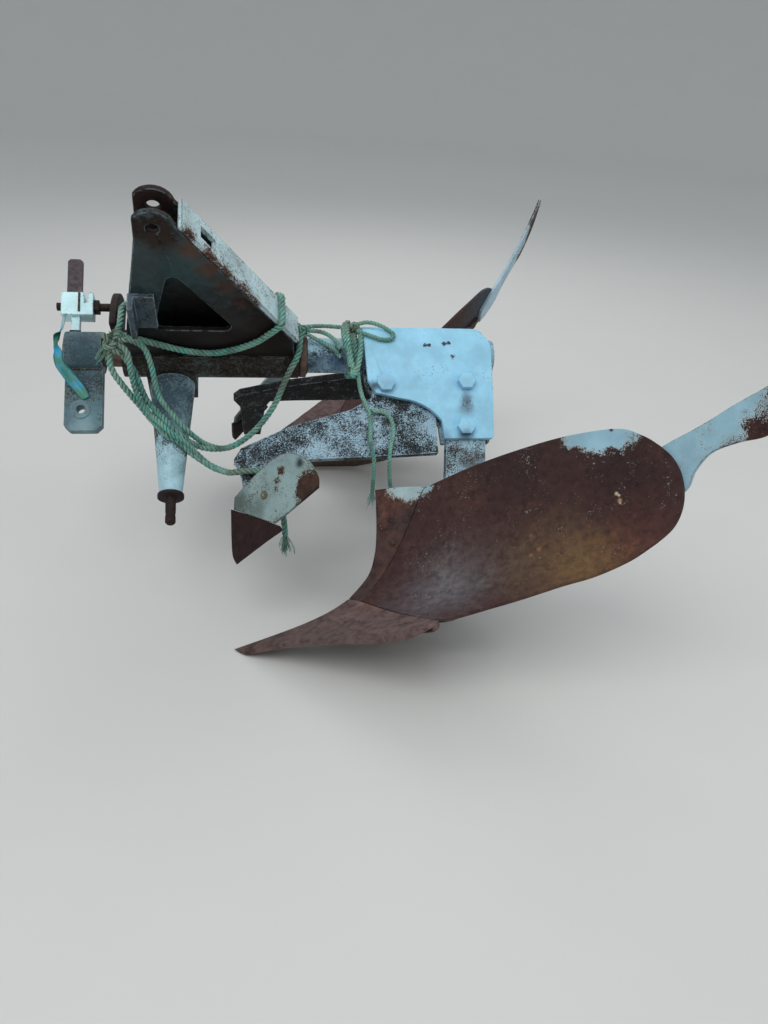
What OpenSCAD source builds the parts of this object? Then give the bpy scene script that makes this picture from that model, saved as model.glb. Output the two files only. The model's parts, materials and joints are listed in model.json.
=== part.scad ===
// Reversible single-furrow moldboard plough for a three-point linkage, parked on both bodies.
// X runs rearwards along the turnover axis, Y is negative on the left-hand body's side, Z is up.

/* [Stance] */
// Angle of each body's leg from the vertical, in degrees
body_roll = 42.5; // [38:0.5:48]
// Lean of the mast from the vertical at rest, in degrees
mast_lean = 36; // [25:1:45]
// Drop from the turnover axis to the share point, along the leg
body_depth = 668; // [600:1:740]

/* [Headstock] */
// Distance between the shoulders of the two lower-link pins
link_span = 683; // [640:1:760]
// Diameter of the lower-link pins
link_pin_d = 22; // [20:1:28]
// Length of each lower-link pin
link_pin_len = 62; // [50:1:80]
// Diameter of the linchpin hole through each lower-link pin
linch_hole_d = 11; // [8:0.5:12]
// Drop from the turnover axis to the lower-link pins
link_drop = 44; // [30:1:60]
// Height of the top-link hole above the lower-link pins
mast_h = 466; // [400:1:520]
// Diameter of the top-link hole
top_hole_d = 25; // [19:0.5:32]
// Gap between the two mast plates
mast_gap = 44; // [40:1:60]
// Thickness of the mast plates
mast_t = 12; // [8:1:16]
// Radius of the rounded ears round the top-link hole
ear_r = 40; // [34:1:48]
// Rearward reach of the mast's sloping back at its foot
mast_foot_x = 268; // [220:1:275]
// Thickness of the sloping back plate
back_t = 10; // [6:1:14]
// Outer diameter of the bearing housing
housing_d = 104; // [94:1:112]
// Front end of the bearing housing, ahead of the lower-link pins
housing_front = 104; // [95:1:106]
// Rear end of the bearing housing, behind the lower-link pins
housing_rear = 285; // [280:1:288]
// Root diameter of the tapered lower-link arms
arm_root_d = 100; // [80:1:104]
// Outer diameter of the tapered lower-link arms
arm_tip_d = 48; // [40:1:60]
// Diameter of the collar behind each lower-link pin
collar_d = 56; // [50:1:64]
// Thickness of the collar behind each lower-link pin
collar_t = 7; // [5:0.5:12]

/* [Turnover shaft] */
// Diameter of the turnover shaft in its bearing
shaft_d = 60; // [50:1:66]
// Outer diameter of the beam tube
tube_d = 80; // [72:1:88]
// Wall of the beam tube
tube_wall = 10; // [6:1:14]
// Running clearance of the shaft in the bearing, on the radius
bearing_gap = 0.1; // [0.05:0.01:0.3]
// Front end of the crank hub, ahead of the lower-link pins
crank_front = 226; // [215:1:240]
// Width of the crank along the shaft
crank_w = 80; // [70:1:90]
// Diameter of the crank hub
hub_d = 92; // [84:1:96]
// Reach of the crank arm from the turnover axis
crank_reach = 186; // [175:1:210]
// Distance of the crank eye from the turnover axis
crank_eye_r = 138; // [125:1:150]
// Thickness of the crank arm
crank_t = 24; // [16:1:30]
// Diameter of the eye boss on the crank arm
eye_boss_d = 42; // [34:1:50]
// Diameter of the hole in the crank eye
eye_hole_d = 19; // [14:0.5:25]

/* [Latch] */
// Width of the latch handle bar
handle_w = 34; // [24:1:44]
// Thickness of the latch handle bar
handle_t = 9; // [6:1:14]
// Outer end of the latch handle, from the turnover axis
handle_reach = 242; // [200:1:270]
// Size of the latch block along the shaft
latch_w = 68; // [56:1:76]
// Near face of the latch block, from the turnover axis
latch_low = 84; // [78:1:90]
// Far face of the latch block, from the turnover axis
latch_high = 138; // [125:1:150]
// Thickness of the latch block
latch_t = 38; // [30:1:46]
// Diameter of the latch plunger
plunger_d = 18; // [12:1:22]
// Thickness of the index sector that the plunger locks into
sector_t = 14; // [10:1:18]
// Gap from the drawn-back plunger to the index sector
plunger_gap = 8; // [6:1:14]

/* [Headpiece and leg] */
// Thickness of the headpiece plates
head_t = 12; // [8:1:16]
// Front edge of the headpiece
head_front = 431; // [415:1:445]
// Rear edge of the headpiece
head_rear = 733; // [715:1:755]
// Lower edge of the headpiece, from the turnover axis
head_low = 222; // [210:1:240]
// Thickness of the leg
leg_t = 26; // [20:1:32]
// Width of the leg where it leaves the headpiece
leg_w = 92; // [80:1:100]
// Front edge of the leg where it leaves the headpiece
leg_x = 612; // [600:1:620]
// Diameter of the headpiece bolts
bolt_d = 24; // [20:1:27]
// Width across flats of the headpiece bolts
bolt_af = 36; // [30:1:41]
// Height of the bolt heads and nuts
bolt_head = 15; // [10:1:20]

/* [Main body] */
// Station of the share point, behind the lower-link pins
point_x = 128; // [115:1:140]
// Station of the moldboard's upright shin
shin_x = 447; // [430:1:465]
// Height at which the share has swept up into the moldboard
throat_h = 73; // [60:1:90]
// Angle of the share's cutting edge to the furrow
share_angle = 38; // [34:0.5:42]
// Angle of the moldboard's upper part to the furrow
top_angle = 43.5; // [40:0.5:47]
// Thickness of the moldboard
board_t = 7; // [5:0.5:9]
// Thickness of the shin piece
shin_t = 9; // [6:0.5:12]
// Thickness of the share
share_t = 11; // [8:0.5:14]
// Thickness of the share at its cutting edge
edge_t = 2; // [1:0.5:4]
// Gap at the seams between the working pieces
seam = 1.5; // [0.5:0.5:3]
// Thickness of the tail piece
tail_t = 8; // [6:0.5:12]
// Thickness of the landside
side_t = 14; // [10:1:18]
// Height of the landside
side_h = 96; // [80:1:120]
// Rear end of the landside
heel_x = 600; // [560:1:640]
// Thickness of the frog's webs
frog_t = 12; // [8:1:14]

/* [Skimmer] */
// Thickness of the skimmer arm
skim_arm_t = 20; // [14:1:24]
// Station of the skimmer's shin
skim_x = 128; // [120:1:136]
// Depth of the skimmer point below the turnover axis, along the leg
skim_depth = 494; // [480:1:510]
// Extra depth at which the right-hand skimmer is set
skim_drop = 60; // [0:5:80]
// Angle of the skimmer's board to the furrow
skim_angle = 42; // [38:0.5:46]
// Thickness of the skimmer's board
skim_t = 6; // [4:0.5:8]

/* [Ropes] */
// Diameter of the rope
rope_d = 14; // [10:1:16]
// Diameter of the single strands
strand_d = 10; // [8:1:12]

/* [Hidden] */

// Clearance between pieces that lie against each other
seat = 0.3;
// Length used to run a cut past both faces
past = 2;
// Smoothness of round pieces
fine = 64;
// Softening of the throat curve next to the cutting edge
throat_soft = 5;
throat_pow = 1.25;
throat_len = (shin_x - point_x) / exp(-pow(throat_soft / throat_h, throat_pow));
// Height to which top_angle is reached
angle_h = 300;
// Extra curl of the tail behind this station
curl_x = 800;
curl = 0.0016;
// Rear edge of the tail piece: station, height above the share point
TAIL_END = [[1062, 332], [1066, 352], [1060, 374]];
// Layers across the leg, from the landside plane outwards
layer_out = tube_d / 2 + seat / 2;
layer_in = layer_out - leg_t;
head_top = -(layer_out / tan(body_roll)) + seat;
// Top of the pieces that hang under the beam tube
under_tube = tube_d / 2 + seat;
// The share's nose reaches the ground first, with the landside's lower corner
nose_drop = edge_t * 1.2;
axis_z = body_depth * cos(body_roll) + nose_drop;
side_low = body_depth + nose_drop / cos(body_roll) - side_t * tan(body_roll);
// Front end of the drawn-back latch plunger, which is the foremost point
plunger_front = -crank_front - 24;
// Middle of the plough's length
rearmost = max([for (v = [0:0.05:1]) let (p = along(TAIL_END, v))
    behind("main", p[0], p[1], board_t + 2 * seat + tail_t)[0]]);
mid_x = (rearmost + plunger_front) / 2;
// Headpiece bolts: station, distance from the axis
BOLTS = [[476, 92], [leg_x + 53, 86], [leg_x + 43, 196]];
top_hole_z = mast_h - link_drop;
// Mast front edge: station, height above the turnover axis
MAST_FRONT = [
    [-37, top_hole_z - 36], [-49, top_hole_z - 106], [-59, 256], [-80, 140], [-88, 60]
];
// Mast sloping back edge: top and foot
MAST_BACK = [[ear_r - 6, top_hole_z + 18], [mast_foot_x, 98]];
sector_x = -housing_front - sector_t;
sector_r = [shaft_d / 2 + 4, 130];
latch_mid = (latch_low + latch_high) / 2;
// Turnover stroke between the two locked positions
stroke = 2 * mast_lean;
paint = [0.56, 0.72, 0.80];
paint_dark = [0.25, 0.33, 0.37];
hemp = [0.25, 0.50, 0.45];
rust = [0.33, 0.22, 0.18];
worn = [0.42, 0.36, 0.33];

// Frames of reference

module stance() {
    translate([-mid_x, 0, axis_z]) children();
}

// A piece of the left-hand body: Z along the leg, Y across it, origin on the turnover axis
module near_body() {
    stance() rotate([-body_roll, 0, 0]) children();
}

module far_body() {
    mirror([0, 1, 0]) near_body() children();
}

// A piece of the headstock, drawn with the mast upright
module headstock() {
    stance() rotate([mast_lean, 0, 0]) children();
}

// A plate drawn as station and distance from the axis, between two layers across the leg
module leg_layer(from, to) {
    translate([0, -from, 0]) rotate([90, 0, 0]) linear_extrude(to - from) scale([1, -1]) children();
}

// A plate drawn as station and height in the mast's plane, between two offsets
module mast_layer(from, to) {
    translate([0, -from, 0]) rotate([90, 0, 0]) linear_extrude(to - from) children();
}

// Curves and lofts

function last(list) = list[len(list) - 1];

function spline(a, b, c, d, t) =
    0.5 * (2 * b + (c - a) * t + (2 * a - 5 * b + 4 * c - d) * t * t
        + (3 * b - a - 3 * c + d) * t * t * t);

// Point at share t of the smooth curve through a list of points
function along(list, t) =
    let (n = len(list) - 1, k = min(floor(t * n), n - 1))
    spline(list[max(k - 1, 0)], list[k], list[k + 1], list[min(k + 2, n)], t * n - k);

// Point of the patch inside four edge curves
function patch(bottom, top, front, rear, u, v) =
    (1 - v) * along(bottom, u) + v * along(top, u) + (1 - u) * along(front, v)
    + u * along(rear, v) - (1 - u) * (1 - v) * bottom[0] - u * (1 - v) * last(bottom)
    - (1 - u) * v * top[0] - u * v * last(top);

function arc(centre, r, from, to, steps) =
    [for (i = [0:steps]) let (a = from + (to - from) * i / steps)
        centre + r * [cos(a), sin(a)]];

// Main body's working surface: station of the shin line and offset across the furrow
function throat(h) =
    shin_x - throat_len * exp(-pow((max(h, 0) + throat_soft) / throat_h, throat_pow));

function board_offset(s, h) =
    tan(share_angle + (top_angle - share_angle) * h / angle_h) * (s - throat(h))
    + curl * pow(max(0, s - curl_x), 2);

// Skimmer's working surface, measured from its own point
function skim_offset(s, h) =
    layer_in + skim_arm_t + skim_t + tan(skim_angle) * (s - skim_x - 12)
    + 0.0012 * pow(max(0, h - 120), 2);

function face_offset(kind, s, h) = kind == "skimmer" ? skim_offset(s, h) : board_offset(s, h);

// Point at a depth behind the working surface
function behind(kind, s, h, depth) =
    let (
        ds = (face_offset(kind, s + 1, h) - face_offset(kind, s - 1, h)) / 2,
        dh = (face_offset(kind, s, h + 1) - face_offset(kind, s, h - 1)) / 2,
        n = sqrt(1 + ds * ds + dh * dh)
    )
    [s + depth * ds / n, -(face_offset(kind, s, h) - depth / n), h + depth * dh / n];

// Closed shell between two grids of points of the same size
module shell(outer, inner) {
    rows = len(outer);
    cols = len(outer[0]);
    count = rows * cols;
    function at(i, j) = i * cols + j;
    points = concat([for (row = outer) each row], [for (row = inner) each row]);
    skins = [for (i = [0:rows - 2], j = [0:cols - 2]) each [
        [at(i, j), at(i, j + 1), at(i + 1, j + 1)],
        [at(i, j), at(i + 1, j + 1), at(i + 1, j)],
        [count + at(i, j), count + at(i + 1, j + 1), count + at(i, j + 1)],
        [count + at(i, j), count + at(i + 1, j), count + at(i + 1, j + 1)]
    ]];
    rim = concat(
        [for (i = [0:rows - 2]) at(i, 0)],
        [for (j = [0:cols - 2]) at(rows - 1, j)],
        [for (i = [rows - 1:-1:1]) at(i, cols - 1)],
        [for (j = [cols - 1:-1:1]) at(0, j)]
    );
    sides = [for (k = [0:len(rim) - 1]) let (a = rim[k], b = rim[(k + 1) % len(rim)]) each [
        [a, b, b + count],
        [a, b + count, a + count]
    ]];
    polyhedron(points = points, faces = concat(skins, sides), convexity = 6);
}

// Plate that follows a working surface inside four edge curves of station and height
module formed_plate(kind, bottom, top, front, rear, steps, depth, thick, edge) {
    drop = kind == "skimmer" ? skim_depth : body_depth;
    function grid(back) =
        [for (i = [0:steps[0]]) [for (j = [0:steps[1]])
            let (
                p = patch(bottom, top, front, rear, i / steps[0], j / steps[1]),
                t = edge + (thick - edge) * min(1, 4 * j / steps[1])
            )
            behind(kind, p[0], p[1], depth + back * t) - [0, 0, drop]
        ]];
    shell(grid(0), grid(1));
}

// Turnover beam

module turnover_shaft() {
    color(worn) stance() {
        translate([-crank_front - 4, 0, 0]) rotate([0, 90, 0])
            cylinder(d = shaft_d, h = crank_front + 4 + housing_rear + past, $fn = fine);
        translate([housing_rear + past, 0, 0]) rotate([0, 90, 0])
            cylinder(d = housing_d - 4, h = 14, $fn = fine);
    }
}

module beam_tube() {
    start = housing_rear + past + 14;
    color(paint) stance() translate([start, 0, 0]) rotate([0, 90, 0])
        difference() {
            cylinder(d = tube_d, h = head_rear + 12 - start, $fn = fine);
            translate([0, 0, past * 4])
                cylinder(d = tube_d - 2 * tube_wall, h = head_rear, $fn = fine);
        }
}

module crank_arm() {
    mid = -crank_front + crank_w / 2;
    color(paint_dark) near_body() difference() {
        union() {
            translate([-crank_front, 0, 0]) rotate([0, 90, 0])
                cylinder(d = hub_d, h = crank_w, $fn = fine);
            translate([mid, crank_t / 2, 0]) rotate([90, 0, 0]) linear_extrude(crank_t)
                polygon([
                    [-crank_w / 2, 0], [-crank_w / 2, 12 - crank_reach],
                    [12 - crank_w / 2, -crank_reach], [crank_w / 2 - 12, -crank_reach],
                    [crank_w / 2, 12 - crank_reach], [crank_w / 2, 0]
                ]);
            translate([mid - 5, crank_t / 2 + 4, -crank_eye_r]) rotate([90, 0, 0])
                cylinder(d = eye_boss_d, h = crank_t + 8, $fn = fine);
        }
        translate([-crank_front - past, 0, 0]) rotate([0, 90, 0])
            cylinder(d = shaft_d + 2 * seat, h = crank_w + 2 * past, $fn = fine);
        translate([mid - 5, crank_t, -crank_eye_r]) rotate([90, 0, 0])
            cylinder(d = eye_hole_d, h = 2 * crank_t, $fn = fine);
    }
}

module latch_block() {
    mid = -crank_front + 18;
    color(paint) near_body() difference() {
        union() {
            translate([-crank_front - 12, -latch_t / 2, latch_low])
                cube([latch_w, latch_t, latch_high - latch_low]);
            translate([mid - 9, -9, hub_d / 2 + seat]) cube([18, 18, latch_low - hub_d / 2]);
        }
        translate([-crank_front - 12 - past, 0, latch_mid]) rotate([0, 90, 0])
            cylinder(d = plunger_d + 2 * seat, h = latch_w + 2 * past, $fn = fine);
        translate([-crank_front + latch_w - 32, -latch_t, latch_mid + 1])
            cube([9, 2 * latch_t, latch_high]);
    }
}

module latch_handle() {
    color(rust) near_body() translate([-crank_front - 8, latch_t / 2 + handle_t, 0])
        rotate([90, 0, 0]) linear_extrude(handle_t) polygon([
            [0, latch_low + 6], [handle_w, latch_low + 6], [handle_w, handle_reach - 6],
            [handle_w - 6, handle_reach], [5, handle_reach], [0, handle_reach - 5]
        ]);
}

module latch_plunger() {
    rear = sector_x - plunger_gap;
    color(worn) near_body() {
        translate([plunger_front, 0, latch_mid]) rotate([0, 90, 0])
            cylinder(d = plunger_d, h = rear - plunger_front, $fn = fine);
        translate([-crank_front + latch_w - 12 + seat, -12, latch_mid - 12]) cube([12, 24, 24]);
    }
}

// Headpiece: two plates on each side of the beam tube

module head_outline(top) {
    corner = 44;
    polygon(concat(
        [[head_front, top]],
        arc([head_rear - corner, top + corner], corner, -90, 0, 8),
        [[head_rear - 4, head_low / 2], [head_rear - 12, head_low - 4],
         [head_rear - 18, head_low], [605, head_low]],
        arc([500, 250], 125, -35, -85, 6),
        [[454, 112], [head_front + 6, 82]]
    ));
}

module headpiece_plate(from, top) {
    difference() {
        leg_layer(from, from + head_t) head_outline(top);
        for (b = BOLTS) bolt_bore(b, from, from + head_t);
    }
}

module bolt_bore(b, from, to) {
    translate([b[0], -from + past, -b[1]]) rotate([90, 0, 0])
        cylinder(d = bolt_d + 2 * seat, h = to - from + 2 * past, $fn = fine);
}

module headpiece_outer() {
    color(paint) headpiece_plate(layer_out, head_top);
}

module headpiece_inner() {
    color(paint) headpiece_plate(layer_in - head_t, under_tube);
}

// Head, shank and nut of each bolt through the headpiece
module headpiece_bolts() {
    out = layer_out + head_t;
    inn = layer_in - head_t;
    color(worn) for (b = BOLTS) translate([b[0], 0, -b[1]]) rotate([90, 0, 0]) {
        translate([0, 0, out]) cylinder(d = bolt_af / cos(30), h = bolt_head, $fn = 6);
        translate([0, 0, inn - bolt_head - 8]) cylinder(d = bolt_d, h = out - inn + bolt_head + 8, $fn = fine);
        translate([0, 0, inn - bolt_head]) cylinder(d = bolt_af / cos(30), h = bolt_head, $fn = 6);
    }
}

module leg() {
    rear = leg_x + leg_w;
    color(paint_dark) difference() {
        leg_layer(layer_in + seat / 2, layer_out - seat / 2) polygon([
            [leg_x, under_tube], [rear, under_tube], [rear, head_low], [rear - 8, body_depth - 368],
            [rear - 14, body_depth - 238], [rear - 4, body_depth - 128], [rear + 2, body_depth - 84],
            [leg_x - 44, body_depth - 44], [leg_x - 40, body_depth - 98],
            [leg_x - 20, body_depth - 168], [leg_x - 12, body_depth - 248],
            [leg_x - 8, body_depth - 368], [leg_x, head_low]
        ]);
        for (b = [BOLTS[1], BOLTS[2]]) bolt_bore(b, layer_in, layer_out);
    }
}

// Front edge of the frog's web, against the back of a working piece
function web_front(h, wall) =
    let (
        slope = tan(share_angle + (top_angle - share_angle) * h / angle_h),
        sweep = (throat(h + 1) - throat(h - 1)) / 2
    )
    throat(h) + (layer_in + (wall + 2 * seat) * sqrt(1 + slope * slope * (1 + sweep * sweep))) / slope;

// Frog: upright web beside the landside, a formed flange behind the board and two ribs
module frog() {
    depth = board_t + 6 * seat;
    ribs = [[78, 470], [150, 504]];
    color(paint_dark) {
        translate([0, -seat / 2, 0]) leg_layer(0, layer_in - seat) polygon([
            for (h = [232:-13:102]) [web_front(h, shin_t), body_depth - h],
            for (h = [92:-10:32]) [web_front(h, share_t), body_depth - h],
            [330, body_depth - 22], [heel_x - 100, body_depth - 22], [heel_x - 60, body_depth - 30],
            [heel_x - 20, body_depth - 60], [640, body_depth - 120], [540, body_depth - 232]
        ]);
        formed_plate("main", [[445, 62], [505, 34], [560, 40]], [[516, 232], [545, 236], [575, 236]],
            [[445, 62], [482, 130], [516, 232]], [[560, 40], [585, 130], [575, 236]],
            [8, 10], depth, frog_t, frog_t);
        for (rib = ribs) translate([0, 0, rib[0] - body_depth]) linear_extrude(frog_t) polygon([
            [rib[1], 1 - layer_in], for (s = [rib[1], 555])
                let (p = behind("main", s, rib[0] + frog_t / 2, depth + frog_t)) [p[0], p[1]],
            [560, 1 - layer_in]
        ]);
    }
}

// Edge curves shared by the working pieces: station, height above the share point
SHARE_TOP = [[throat(96), 96], [398, 85], [456, 42], [509, 14]];
SHIN_BACK = [[398, 85], [434, 124], [471, 175], [508, 246], [534, 308], [546, 322]];

module share() {
    color(worn) formed_plate("main",
        [[point_x, 0], [142, -10], [157, -14], [200, -11], [236, -8], [316, -12], [367, -17],
         [405, -20], [448, -18], [480, -7], [502, 6]], SHARE_TOP,
        [for (k = [0:4]) [throat(24 * k), 24 * k]], [[502, 6], [506, 10], [509, 14]],
        [20, 5], 0, share_t, edge_t);
}

module shin() {
    low = 96 + seam;
    color(paint) formed_plate("main",
        [[throat(low), low], [398 - seam, 85 + seam]],
        [[throat(342), 342], [500, 334], [546 - seam, 322]],
        [for (k = [0:5]) let (h = low + (342 - low) * k / 5) [throat(h), h]],
        [for (k = [0:5]) SHIN_BACK[k] + [-seam, k == 0 ? seam : 0]],
        [4, 10], 0, shin_t, shin_t);
}

module moldboard() {
    front = [for (k = [0:5]) SHIN_BACK[k] + [0, k == 0 ? 2 * seam : 0]];
    color(rust) formed_plate("main",
        [front[0], [457, 42 + 2 * seam], [509, 14 + 2 * seam], [552, 23], [606, 35], [660, 47],
         [728, 64], [785, 76], [843, 97], [885, 122]],
        [front[5], [632, 343], [716, 354], [786, 356], [850, 346], [882, 321], [903, 294]],
        front, [[885, 122], [908, 142], [922, 168], [928, 200], [926, 236], [917, 268], [903, 294]],
        [22, 14], 0, board_t, board_t);
}

module tail_piece() {
    color(paint) formed_plate("main",
        [[880, 190], [912, 196], [931, 210], [940, 236], [958, 260], [985, 265], [1013, 264],
         [1044, 292], TAIL_END[0]],
        [[868, 256], [888, 282], [909, 296], [932, 305], [953, 314], [979, 328], [1012, 342],
         [1038, 358], TAIL_END[2]],
        [[880, 190], [868, 256]], TAIL_END, [16, 4], board_t + 2 * seat, tail_t, tail_t);
}

// Bent flat bar from the leg to a pad behind the moldboard
module tail_stay() {
    low = 196;
    high = 236;
    stay_t = 9;
    color(paint_dark) {
        formed_plate("main", [[800, low], [862, low]], [[800, high], [862, high]],
            [[800, low], [800, high]], [[862, low], [862, high]], [4, 3], board_t + 2 * seat,
            stay_t, stay_t);
        hull() {
            translate([leg_x + 20, -layer_out - stay_t - seat / 2, low - body_depth]) cube([50, stay_t, high - low]);
            translate([leg_x + 62, -layer_out - stay_t - seat / 2, low - body_depth]) cube([20, stay_t, high - low]);
        }
        hull() {
            translate([leg_x + 72, -layer_out - stay_t - seat / 2, low - body_depth]) cube([stay_t, stay_t, high - low]);
            p = behind("main", 806, (low + high) / 2, board_t + seat + 5);
            translate([p[0] - 3, p[1] - 3, low - body_depth]) cube([6, 6, high - low]);
        }
    }
}

module landside() {
    color(worn) leg_layer(-side_t, -seat / 2) polygon([
        for (h = [body_depth - side_low + side_h, 86, 66]) [throat(h) + 28, body_depth - h],
        [330, side_low], [heel_x - 100, side_low], [heel_x - 20, side_low - 40],
        [heel_x, side_low - 60], [heel_x, side_low - side_h + 20], [heel_x - 20, side_low - side_h]
    ]);
}

// Skimmer: a small plough body on its own arm ahead of the main one

module skimmer_arm(drop = 0) {
    foot = skim_depth + drop - 76;
    color(paint_dark) {
        difference() {
            union() {
                leg_layer(layer_in + seat / 2, layer_in + skim_arm_t) polygon([
                    [592, 88], [452, 72], [446, 118], [396, 147], [260, 186], [150, 236], [134, 262],
                    [150, 300], [160, foot], [206, foot], [216, 300],
                    [228, 268], [290, 263], [434, 258], [592, 250]
                ]);
                leg_layer(layer_in + skim_arm_t - 1, layer_out - seat / 2)
                    translate(BOLTS[0]) circle(d = bolt_af + 12, $fn = fine);
            }
            bolt_bore(BOLTS[0], layer_in, layer_out);
        }
        translate([0, 0, -skim_depth - drop]) hull() for (h = [110, 170]) {
            translate([164, -layer_in - skim_arm_t, h]) cube([38, 2, 8]);
            for (s = [172, 204]) let (p = behind("skimmer", s, h, skim_t + 5))
                translate([p[0] - 6, p[1], h]) cube([6, 2, 8]);
        }
    }
}

// Seam between the skimmer's board and its share: station, height above the point
SKIM_SEAM = [[skim_x + 4, 120], [172, 96], [213, 71]];

module skimmer_board() {
    color(paint) formed_plate("skimmer",
        SKIM_SEAM,
        [[skim_x + 6, 146], [170, 177], [209, 204], [246, 211], [280, 188], [299, 152], [300, 125]],
        [SKIM_SEAM[0], [skim_x + 6, 146]], [SKIM_SEAM[2], [236, 84], [260, 99], [300, 125]],
        [12, 8], 0, skim_t, skim_t);
}

module skimmer_share() {
    color(rust) formed_plate("skimmer",
        [[skim_x + 8, 0], [184, 28], [227, 52]],
        [[skim_x - 2, 122], SKIM_SEAM[1] - [0, seam / 2], [222, 64]],
        [[skim_x + 8, 0], [skim_x, 20], [skim_x - 2, 60], [skim_x - 2, 122]],
        [[227, 52], [222, 64]], [6, 4], 0, skim_t + 2, edge_t);
}

// Headstock

module mast_outline() {
    polygon(concat(
        arc([0, top_hole_z], ear_r, 150, 12, 10),
        [MAST_BACK[1], [mast_foot_x + 6, 30], [-88, 30]],
        [for (k = [4:-1:0]) MAST_FRONT[k]]
    ));
}

module mast_plate(window = false) {
    color(paint_dark) difference() {
        mast_layer(mast_gap / 2, mast_gap / 2 + mast_t) difference() {
            mast_outline();
            if (window) offset(r = 16) polygon([[26, 278], [-6, 146], [118, 146]]);
        }
        translate([-housing_front * 2, 0, 0]) rotate([0, 90, 0])
            cylinder(r = housing_d / 2 + seat, h = 700, $fn = fine);
        translate([0, 0, top_hole_z]) rotate([90, 0, 0])
            cylinder(d = top_hole_d, h = 200, center = true, $fn = fine);
    }
}

// Sloping plate over the rear edges of the mast plates
module mast_back() {
    width = mast_gap + 2 * mast_t;
    run = MAST_BACK[1] - MAST_BACK[0];
    color(paint) translate([MAST_BACK[0][0], 0, MAST_BACK[0][1]])
        rotate([0, atan2(-run[1], run[0]), 0]) difference() {
        translate([18, -width / 2, seat]) cube([norm(run) - 10, width, back_t]);
        translate([74, -13, -past]) cube([44, 26, back_t + 3 * past]);
    }
}

// Lug welded to the near mast plate
module mast_pad() {
    face = mast_gap / 2 + mast_t;
    color(paint_dark) {
        translate([-66, -face - 40, 150]) cube([12, 40, 96]);
        translate([-54, -face - 10, 150]) cube([40, 10, 96]);
    }
}

module bearing_housing() {
    color(paint_dark) difference() {
        union() {
            translate([-housing_front, 0, 0]) rotate([0, 90, 0])
                cylinder(d = housing_d, h = housing_front + housing_rear, $fn = fine);
            translate([-arm_root_d / 2 - 4, -housing_d / 2 - 4, -link_drop - arm_root_d / 2])
                cube([arm_root_d + 8, housing_d + 8, link_drop + arm_root_d / 2]);
        }
        translate([-housing_front - past, 0, 0]) rotate([0, 90, 0])
            cylinder(r = shaft_d / 2 + bearing_gap, h = housing_front + housing_rear + 2 * past, $fn = fine);
    }
}

module link_arm() {
    root = housing_d / 2 + 4;
    tip = link_span / 2 - collar_t;
    color(paint) translate([0, -root - seat, -link_drop]) rotate([90, 0, 0])
        cylinder(d1 = arm_root_d, d2 = arm_tip_d, h = tip - root - seat, $fn = fine);
}

module link_pin() {
    color(worn) translate([0, -link_span / 2 + collar_t, -link_drop]) rotate([90, 0, 0])
        difference() {
            union() {
                cylinder(d = collar_d, h = collar_t, $fn = fine);
                cylinder(d = link_pin_d, h = collar_t + link_pin_len - 4, $fn = fine);
                translate([0, 0, collar_t + link_pin_len - 4])
                    cylinder(d1 = link_pin_d, d2 = link_pin_d - 8, h = 4, $fn = fine);
            }
            translate([0, 0, collar_t + 40]) rotate([0, 90, 0])
                cylinder(d = linch_hole_d, h = 2 * link_pin_d, center = true, $fn = fine);
        }
}

// Sector on the front of the housing, with a hole for each locked position
module index_sector() {
    // Angles from the mast towards the far side at which the latch stands in its two positions
    locked = [body_roll + mast_lean, body_roll + mast_lean - stroke];
    ends = [90 - locked[0] - 14, 90 - locked[1] + 14];
    color(rust) translate([sector_x, 0, 0]) rotate([90, 0, 90])
        linear_extrude(sector_t - seat) difference() {
            polygon(concat(
                arc([0, 0], sector_r[1], ends[0], ends[1], 16),
                arc([0, 0], sector_r[0], ends[1], ends[0], 10)
            ));
            for (a = locked) rotate(90 - a) translate([latch_mid, 0])
                circle(d = plunger_d + 4, $fn = fine);
        }
}

// Ropes: a tie round the mast, two loops that hang over the near link arm, and a lashing on the tube

// Route points in the headstock's frame
TIE = [
    [-98, -54, 121], [-60, -42, 108], [-14, -42, 89], [34, -42, 70], [88, -42, 62], [140, -42, 76],
    [190, -42, 106], [220, -42, 140], [240, -43, 164], [244, -30, 170], [242, 0, 168],
    [244, 30, 170], [240, 43, 164], [220, 42, 140], [190, 42, 106], [140, 42, 76], [88, 42, 62],
    [34, 42, 70], [-14, 42, 89], [-60, 42, 108], [-90, 40, 123], [-94, 4, 128], [-95, -24, 128],
    [-106, -46, 125]
];
LOOP_SHORT = [
    [288, 10, 66], [284, -20, 59], [280, -38, 48], [262, -60, 24], [246, -78, -16], [234, -99, -37],
    [210, -130, -58], [175, -165, -75], [130, -196, -80], [82, -213, -60], [44, -216, -32],
    [31, -213, -11], [14, -208, 0], [-11, -175, 3], [-34, -143, -8], [-53, -128, 16],
    [-70, -96, 64], [-98, -66, 106]
];
LOOP_LONG = [
    [-114, -64, 112], [-118, -92, 78], [-92, -118, 36], [-68, -134, 0], [-47, -152, -26],
    [-24, -190, -4], [-2, -218, 2], [14, -224, -2], [28, -232, -12], [40, -238, -30],
    [64, -252, -41], [94, -275, -38], [130, -296, -20], [148, -296, -12], [177, -296, -12],
    [204, -296, -12]
];
BRIDGE_UPPER = [[297, 31, 66], [340, 35, 65], [379, 34, 63]];
BRIDGE_MIDDLE = [[302, 22, 64], [340, 26, 53], [366, 6, 53], [378, -18, 49]];
BRIDGE_LOWER = [[300, 12, 66], [326, 6, 52], [356, -12, 50], [378, -33, 39]];
// Knots on the front of the mast
FRONT_KNOTS = [[-112, -56, 122], [-105, -60, 115]];
// Knot at the foot of the mast's slope
SLOPE_KNOT = [288, 19, 69];

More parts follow.
